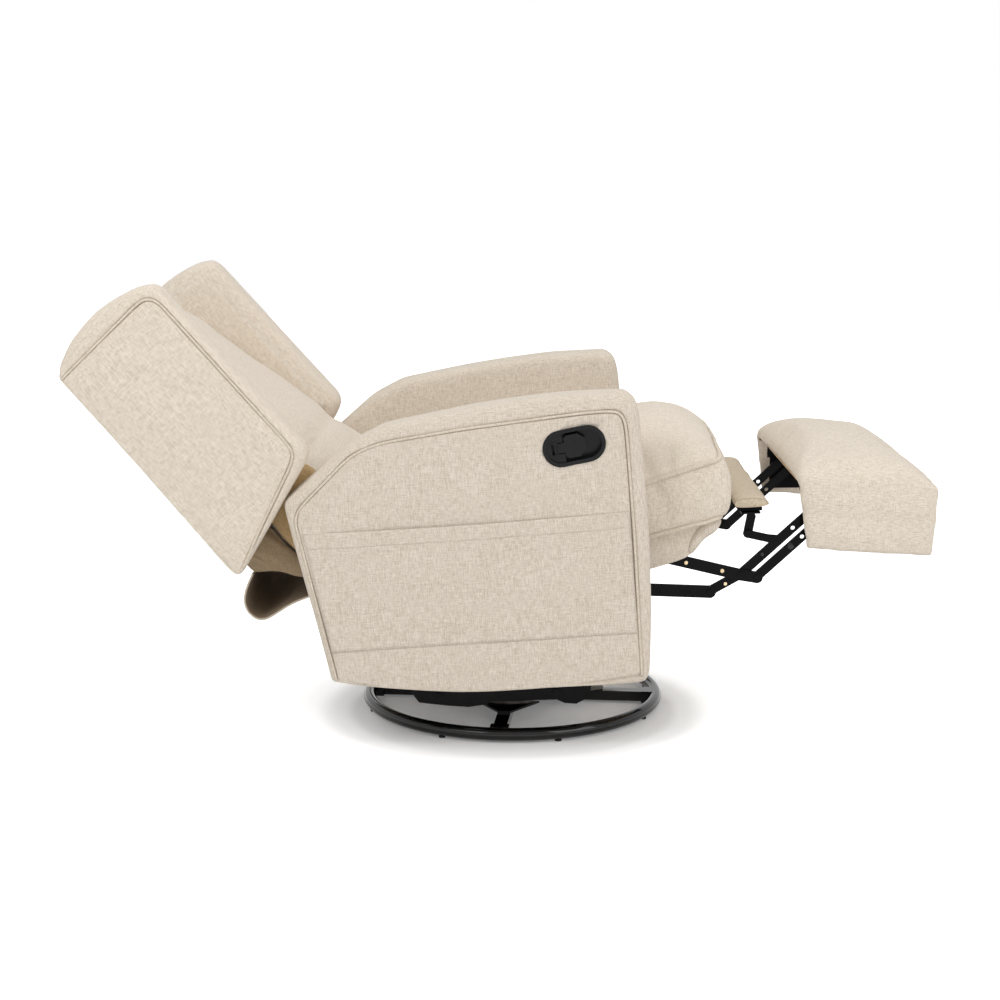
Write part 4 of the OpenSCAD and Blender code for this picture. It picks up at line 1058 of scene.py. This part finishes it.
def two_layers(name, front, behind, cols):
    """Thin closed cloth from two grids of points, given row by row, with a rim round them."""
    half = len(front)
    rows = half // cols
    faces = []
    for j in range(rows - 1):
        for i in range(cols - 1):
            a = j * cols + i
            b = a + half
            faces += [(a, a + 1, a + cols + 1, a + cols), (b, b + cols, b + cols + 1, b + 1)]
    rim = list(range(cols)) + [j * cols + cols - 1 for j in range(1, rows)]
    rim += [half - cols + i for i in range(cols - 2, -1, -1)] + [j * cols for j in range(rows - 2, 0, -1)]
    for a, b in zip(rim, rim[1:] + rim[:1]):
        faces.append((a, b, b + half, a + half))
    return mesh_object(name, front + behind, faces, BODY_AT)


def skirt_side(name, side, rows=36, cols=60):
    """Loose cloth that closes the skirt's end, in folds that fall from the seat's bottom seam."""
    top = resample(SKIRT_TOP, cols, closed=False)
    low = resample(SKIRT_LOW, cols, closed=False)
    mid_y = sum(SKIRT_Y) / 2
    sheets = []
    for half_t in (1.0, -1.0):
        grid = []
        for v in np.linspace(0, 1, rows):
            for (x0, z0), (x1, z1) in zip(top, low):
                x, z = x0 + (x1 - x0) * v, z0 + (z1 - z0) * v
                fold = noise.noise(Vector((x / 22 - v * 0.9, v * 1.3, 4.0)))
                y = mid_y + half_t + 1.25 * fold * math.sin(math.pi * min(1.0, 0.25 + v) / 1.25)
                grid.append((x, side * y, z))
        sheets.append(grid)
    return two_layers(name, *sheets, cols)


for side, word in SIDES:
    dress(skirt_side("skirt_side_" + word, side), LINEN, "seat", slot="linen_trim")

# Dust cloth under the seat gap, from the rear rail to its tube

DECK_X, DECK_Z, DECK_HALF, DECK_T = (-329.5, -136.5), 154.4, 245.0, 0.8


def deck_sheet():
    ys = np.linspace(-DECK_HALF, DECK_HALF, 90)
    top = []
    for x in np.linspace(*DECK_X, 40):
        u = (x - DECK_X[0]) / (DECK_X[1] - DECK_X[0])
        sag = math.sin(math.pi * u)
        for y in ys:
            wave = noise.noise(Vector((x / 70, y / 35, 2.0))) * sag
            top.append((x, y, DECK_Z - 0.6 * u - 2.0 * sag + 1.2 * wave))
    return two_layers("deck_dust_cloth", top, [(x, y, z - DECK_T) for x, y, z in top], len(ys))


deck = deck_sheet()
dress(deck, DUST, "body", "deck_cloth", slot="dust_cloth")

# Springs as bent round wire

SPRING_R, WAVES, SPRINGS = 2.0, 10, 5


def wavy(a, b, across, amp):
    """Sinuous wire from a to b: smooth loops across, on the zigzag of the frame's springs."""
    a, b, w = (np.array(v, float) for v in (a, b, across))
    out = []
    for t in np.linspace(0, WAVES, WAVES * 8 + 1):
        k = -math.cos(math.pi * t)
        out.append(a + (b - a) * t / WAVES + w * amp * math.copysign(abs(k) ** 0.6, k))
    return out


# Pitch, ends and wave of the springs, in the body's and the back's own millimetres
SEAT_PITCH, SEAT_REAR, SEAT_FRONT, SEAT_WAVE = 78.0, (-58.8, 178), (307.8, 258), 12
BACK_PITCH, BACK_LOW, BACK_SPRING_X, BACK_SPRING_END, BACK_WAVE = 80.0, 330.0, -165, 193.5, 14
for k in range(SPRINGS):
    y = (k - (SPRINGS - 1) / 2) * SEAT_PITCH
    path = wavy((SEAT_REAR[0], y, SEAT_REAR[1]), (SEAT_FRONT[0], y, SEAT_FRONT[1]), (0, 1, 0), SEAT_WAVE)
    wire = tube("seat_spring_%d" % (k + 1), path, SPRING_R, BODY_AT, normal=(-0.21, 0, 0.98))
    dress(wire, WIRE, "seat", "seat_springs", slot="spring_wire")
    z = BACK_LOW + BACK_PITCH * k
    ends = [(BACK_SPRING_X, y, z) for y in (-BACK_SPRING_END, BACK_SPRING_END)]
    path = wavy(*ends, (0, 0, 1), BACK_WAVE)
    wire = tube("back_spring_%d" % (k + 1), path, SPRING_R, BACK_AT, normal=(1, 0, 0))
    dress(wire, WIRE, "back", "back_springs", slot="spring_wire")

# Side pockets

POCKET_X, POCKET_SPREAD = (-326, 235), (-36, -2)
POCKET_LOW, POCKET_HIGH, POCKET_RISE, POCKET_DROOP = 115, 225, 3, 3.0
HEM_V, TOP_V, LIP_V = 0.885, 0.985, 0.99

# Fold at the pocket's top: it stands proud above a stitched dip
DIP_V, FOLD_V, DIP, FOLD = 0.862, 0.872, 0.6, 0.9
POCKET_GAP, POCKET_T, POCKET_LIFT = 2.9, 1.8, 4.6
STITCH_X = (-350, 226)
PATCHES = ((-350, -302), (180, 226))


def pocket_ends(v):
    """Rear and front edge of the pocket at a share of its height."""
    return (x + more * v for x, more in zip(POCKET_X, POCKET_SPREAD))


def pocket_u(x, v):
    lo, hi = pocket_ends(v)
    return (x - lo) / (hi - lo)


def pocket_z(x, v):
    u = pocket_u(x, v)
    droop = POCKET_DROOP * math.sin(math.pi * min(1, max(0, u))) * v ** 6
    return POCKET_LOW + (POCKET_HIGH + POCKET_RISE * u) * v - droop


def pocket_y(x, v):
    """Outer face of the pocket cloth: it lifts off the arm towards its open top."""
    u = min(1, max(0, (pocket_u(x, v) - 0.06) / 0.88))
    billow = math.sin(math.pi * u) ** 0.6 * v ** 1.5
    hem = FOLD if v > FOLD_V else (-DIP if DIP_V < v < FOLD_V else 0)
    return HALF_W + POCKET_GAP + POCKET_LIFT * billow + 0.5 * noise.noise(Vector((x / 60, v * 4, 1.0))) + hem


def pocket_cloth(name, side):
    us = np.linspace(0, 1, 90)
    hem_rows = [0.861, 0.867, 0.873, 0.884]
    vs = np.concatenate([np.linspace(0, 0.85, 27), hem_rows, np.linspace(0.9, 0.985, 6), [0.995, 1.0]])
    front, behind = [], []
    for v in vs:
        lo, hi = pocket_ends(v)
        for u in us:
            x = lo + (hi - lo) * u
            y, z = pocket_y(x, v), pocket_z(x, v)
            front.append((x, side * (y - (0.7 if v > LIP_V else 0)), z))
            behind.append((x, side * (y - POCKET_T), z))
    return two_layers(name, front, behind, len(us))


def pocket_seams(side):
    """Stitch lines: the hem, and a stitched patch at each end of it."""
    def on_cloth(x, v):
        return (x, side * pocket_y(x, v), pocket_z(x, v))

    lines = [[on_cloth(x, HEM_V) for x in np.linspace(*STITCH_X, 80)]]
    for ends in PATCHES:
        lines += [[on_cloth(x, v) for x in ends] for v in (HEM_V, TOP_V)]
        lines += [[on_cloth(x, v) for v in np.linspace(HEM_V, TOP_V, 6)] for x in ends]
    return lines


for side, word in SIDES:
    pocket = pocket_cloth("pocket_cloth_" + word, side)
    dress(pocket, LINEN_ARM_SHADED, "body", "side_pocket_" + word, slot="linen_trim")
    seams = stitches("pocket_stitches_" + word, pocket_seams(side), BODY_AT, (0, side, 0))
    dress(seams, THREAD, "body", slot="linen_trim")

# Rear flap

FLAP = [
    (-476, 246), (-491, 219), (-497, 192), (-490, 168), (-471, 155), (-447, 163), (-405, 187), (-352, 203),
]
FLAP_HALF, FLAP_RINGS, FLAP_POINTS = 269.0, 61, 60
FLAP_FACE, FLAP_LINING, FLAP_HEM, FLAP_HEM_SHARE = 1.2, -1.0, 1.4, 0.955


def flap_cloth():
    p = resample(FLAP, FLAP_POINTS, closed=False)
    t = np.gradient(p, axis=0)
    t /= np.linalg.norm(t, axis=1)[:, None]
    nrm = np.stack([t[:, 1], -t[:, 0]], 1)
    length = float(np.sum(np.linalg.norm(np.diff(p, axis=0), axis=1)))
    held = np.sin(np.linspace(0, math.pi, len(p)))
    rows = []
    for f in np.linspace(-1, 1, FLAP_RINGS):
        y = f * FLAP_HALF
        wob = np.array([1.6 * noise.noise(Vector((y / 70, i / 9, 3))) for i in range(len(p))]) * held
        hem = FLAP_HEM if abs(f) > FLAP_HEM_SHARE else 0.0
        a = p + nrm * (FLAP_FACE + hem + wob)[:, None]
        b = p + nrm * (FLAP_LINING + wob)[:, None]
        rows.append([(x, y, z) for x, z in a] + [(x, y, z) for x, z in b[::-1]])
    return loft("rear_flap_cloth", rows, BODY_AT, "pairs"), length


flap, flap_len = flap_cloth()
dress(flap, TRIM, None, "rear_flap", slot="linen_trim")
# The inner face, inside the flap's loop, takes the brown painted shade
flap.data.materials.append(FLAP_INNER_SHADE)
for f in flap.data.polygons:
    if f.index % (2 * FLAP_POINTS) >= FLAP_POINTS:
        f.material_index = 1
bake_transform(flap)


# Stage

def seen_direct(nt):
    """One where a camera, mirror or glass ray sees the surface, else zero."""
    path = nt.nodes.new("ShaderNodeLightPath")
    value = path.outputs["Is Camera Ray"]
    for other in ("Is Glossy Ray", "Is Transmission Ray"):
        value = maths(nt, "MAXIMUM", value, path.outputs[other])
    return value


# Painted shadow: the floor's glow, seen directly, by distance in metres from the middle of the shadow; low
# near the chair, high beyond
FLOOR_LIFT = ((0.27, 0.12), (0.31, 0.18), (0.345, 0.34), (0.41, 0.62), (0.55, 0.85))
SHADOW_MID = (PLAN_X / 1000, -0.06, 0)


def floor_material():
    """White floor that keeps the chair's rendered shadow, darkened round the chair by a painted shadow where
    its glow is low, and meets the white world beyond it.
    """
    mat = finish_material("floor_white", (0.9, 0.9, 0.9), rough=0.9, spot=0.004, grain=(3, 300), shine=0.1)
    nt = mat.node_tree
    nd, ln = nt.nodes, nt.links
    out = next(n for n in nd if n.type == "OUTPUT_MATERIAL")
    tex = nd.new("ShaderNodeTexCoord")
    from_mid = nd.new("ShaderNodeVectorMath")
    from_mid.operation = "SUBTRACT"
    from_mid.inputs[1].default_value = SHADOW_MID
    ln.new(tex.outputs["Object"], from_mid.inputs[0])
    far = nd.new("ShaderNodeVectorMath")
    far.operation = "LENGTH"
    ln.new(from_mid.outputs[0], far.inputs[0])
    stops = [(radius, (value, value, value)) for radius, value in FLOOR_LIFT]
    lift = ramp_node(nt, far.outputs["Value"], stops, "EASE")
    glow = nd.new("ShaderNodeEmission")
    ln.new(maths(nt, "MULTIPLY", seen_direct(nt), lift), glow.inputs["Strength"])
    both = nd.new("ShaderNodeAddShader")
    ln.new(nd["Principled BSDF"].outputs[0], both.inputs[0])
    ln.new(glow.outputs[0], both.inputs[1])
    ln.new(both.outputs[0], out.inputs["Surface"])
    return mat


# Lamps: place and size in metres, power in watts
LAMPS = (
    ("key", (-1.7, -2.1, 2.5), (1.8, 1.8), 29),
    ("fill", (2.6, -2.4, 1.9), (2.2, 2.2), 35),
    ("top", (0.1, 0.5, 3.4), (2.6, 2.6), 25),
    ("glint", (0.0, -2.3, 2.8), (3.0, 0.08), 8),
)
WORLD_LIGHT, LOOK_Z, FLOOR_HALF = 0.55, 0.45, 9000


def make_stage():
    corners = [(x * FLOOR_HALF, y * FLOOR_HALF, 0) for x, y in ((-1, -1), (1, -1), (1, 1), (-1, 1))]
    floor = mesh_object("floor", corners, [(0, 1, 2, 3)], smooth=False)
    floor.data.materials.append(floor_material())
    world = bpy.data.worlds.new("world")
    bpy.context.scene.world = world
    world.use_nodes = True
    nt = world.node_tree
    sky = set_inputs(nt.nodes["Background"], Color=(1, 1, 1, 1))
    strength = set_inputs(nt.nodes.new("ShaderNodeMapRange"), To_Min=WORLD_LIGHT, To_Max=1.0)
    nt.links.new(seen_direct(nt), strength.inputs["Value"])
    nt.links.new(strength.outputs[0], sky.inputs["Strength"])
    for name, at, size, power in LAMPS:
        data = bpy.data.lights.new(name, "AREA")
        data.shape = "RECTANGLE"
        data.size, data.size_y = size
        data.energy = power
        lamp = bpy.data.objects.new(name, data)
        bpy.context.scene.collection.objects.link(lamp)
        lamp.location = at
        lamp.rotation_euler = (Vector((0, 0, LOOK_Z)) - Vector(at)).to_track_quat("-Z", "Y").to_euler()
    bpy.context.scene.view_settings.view_transform = "Standard"


make_stage()
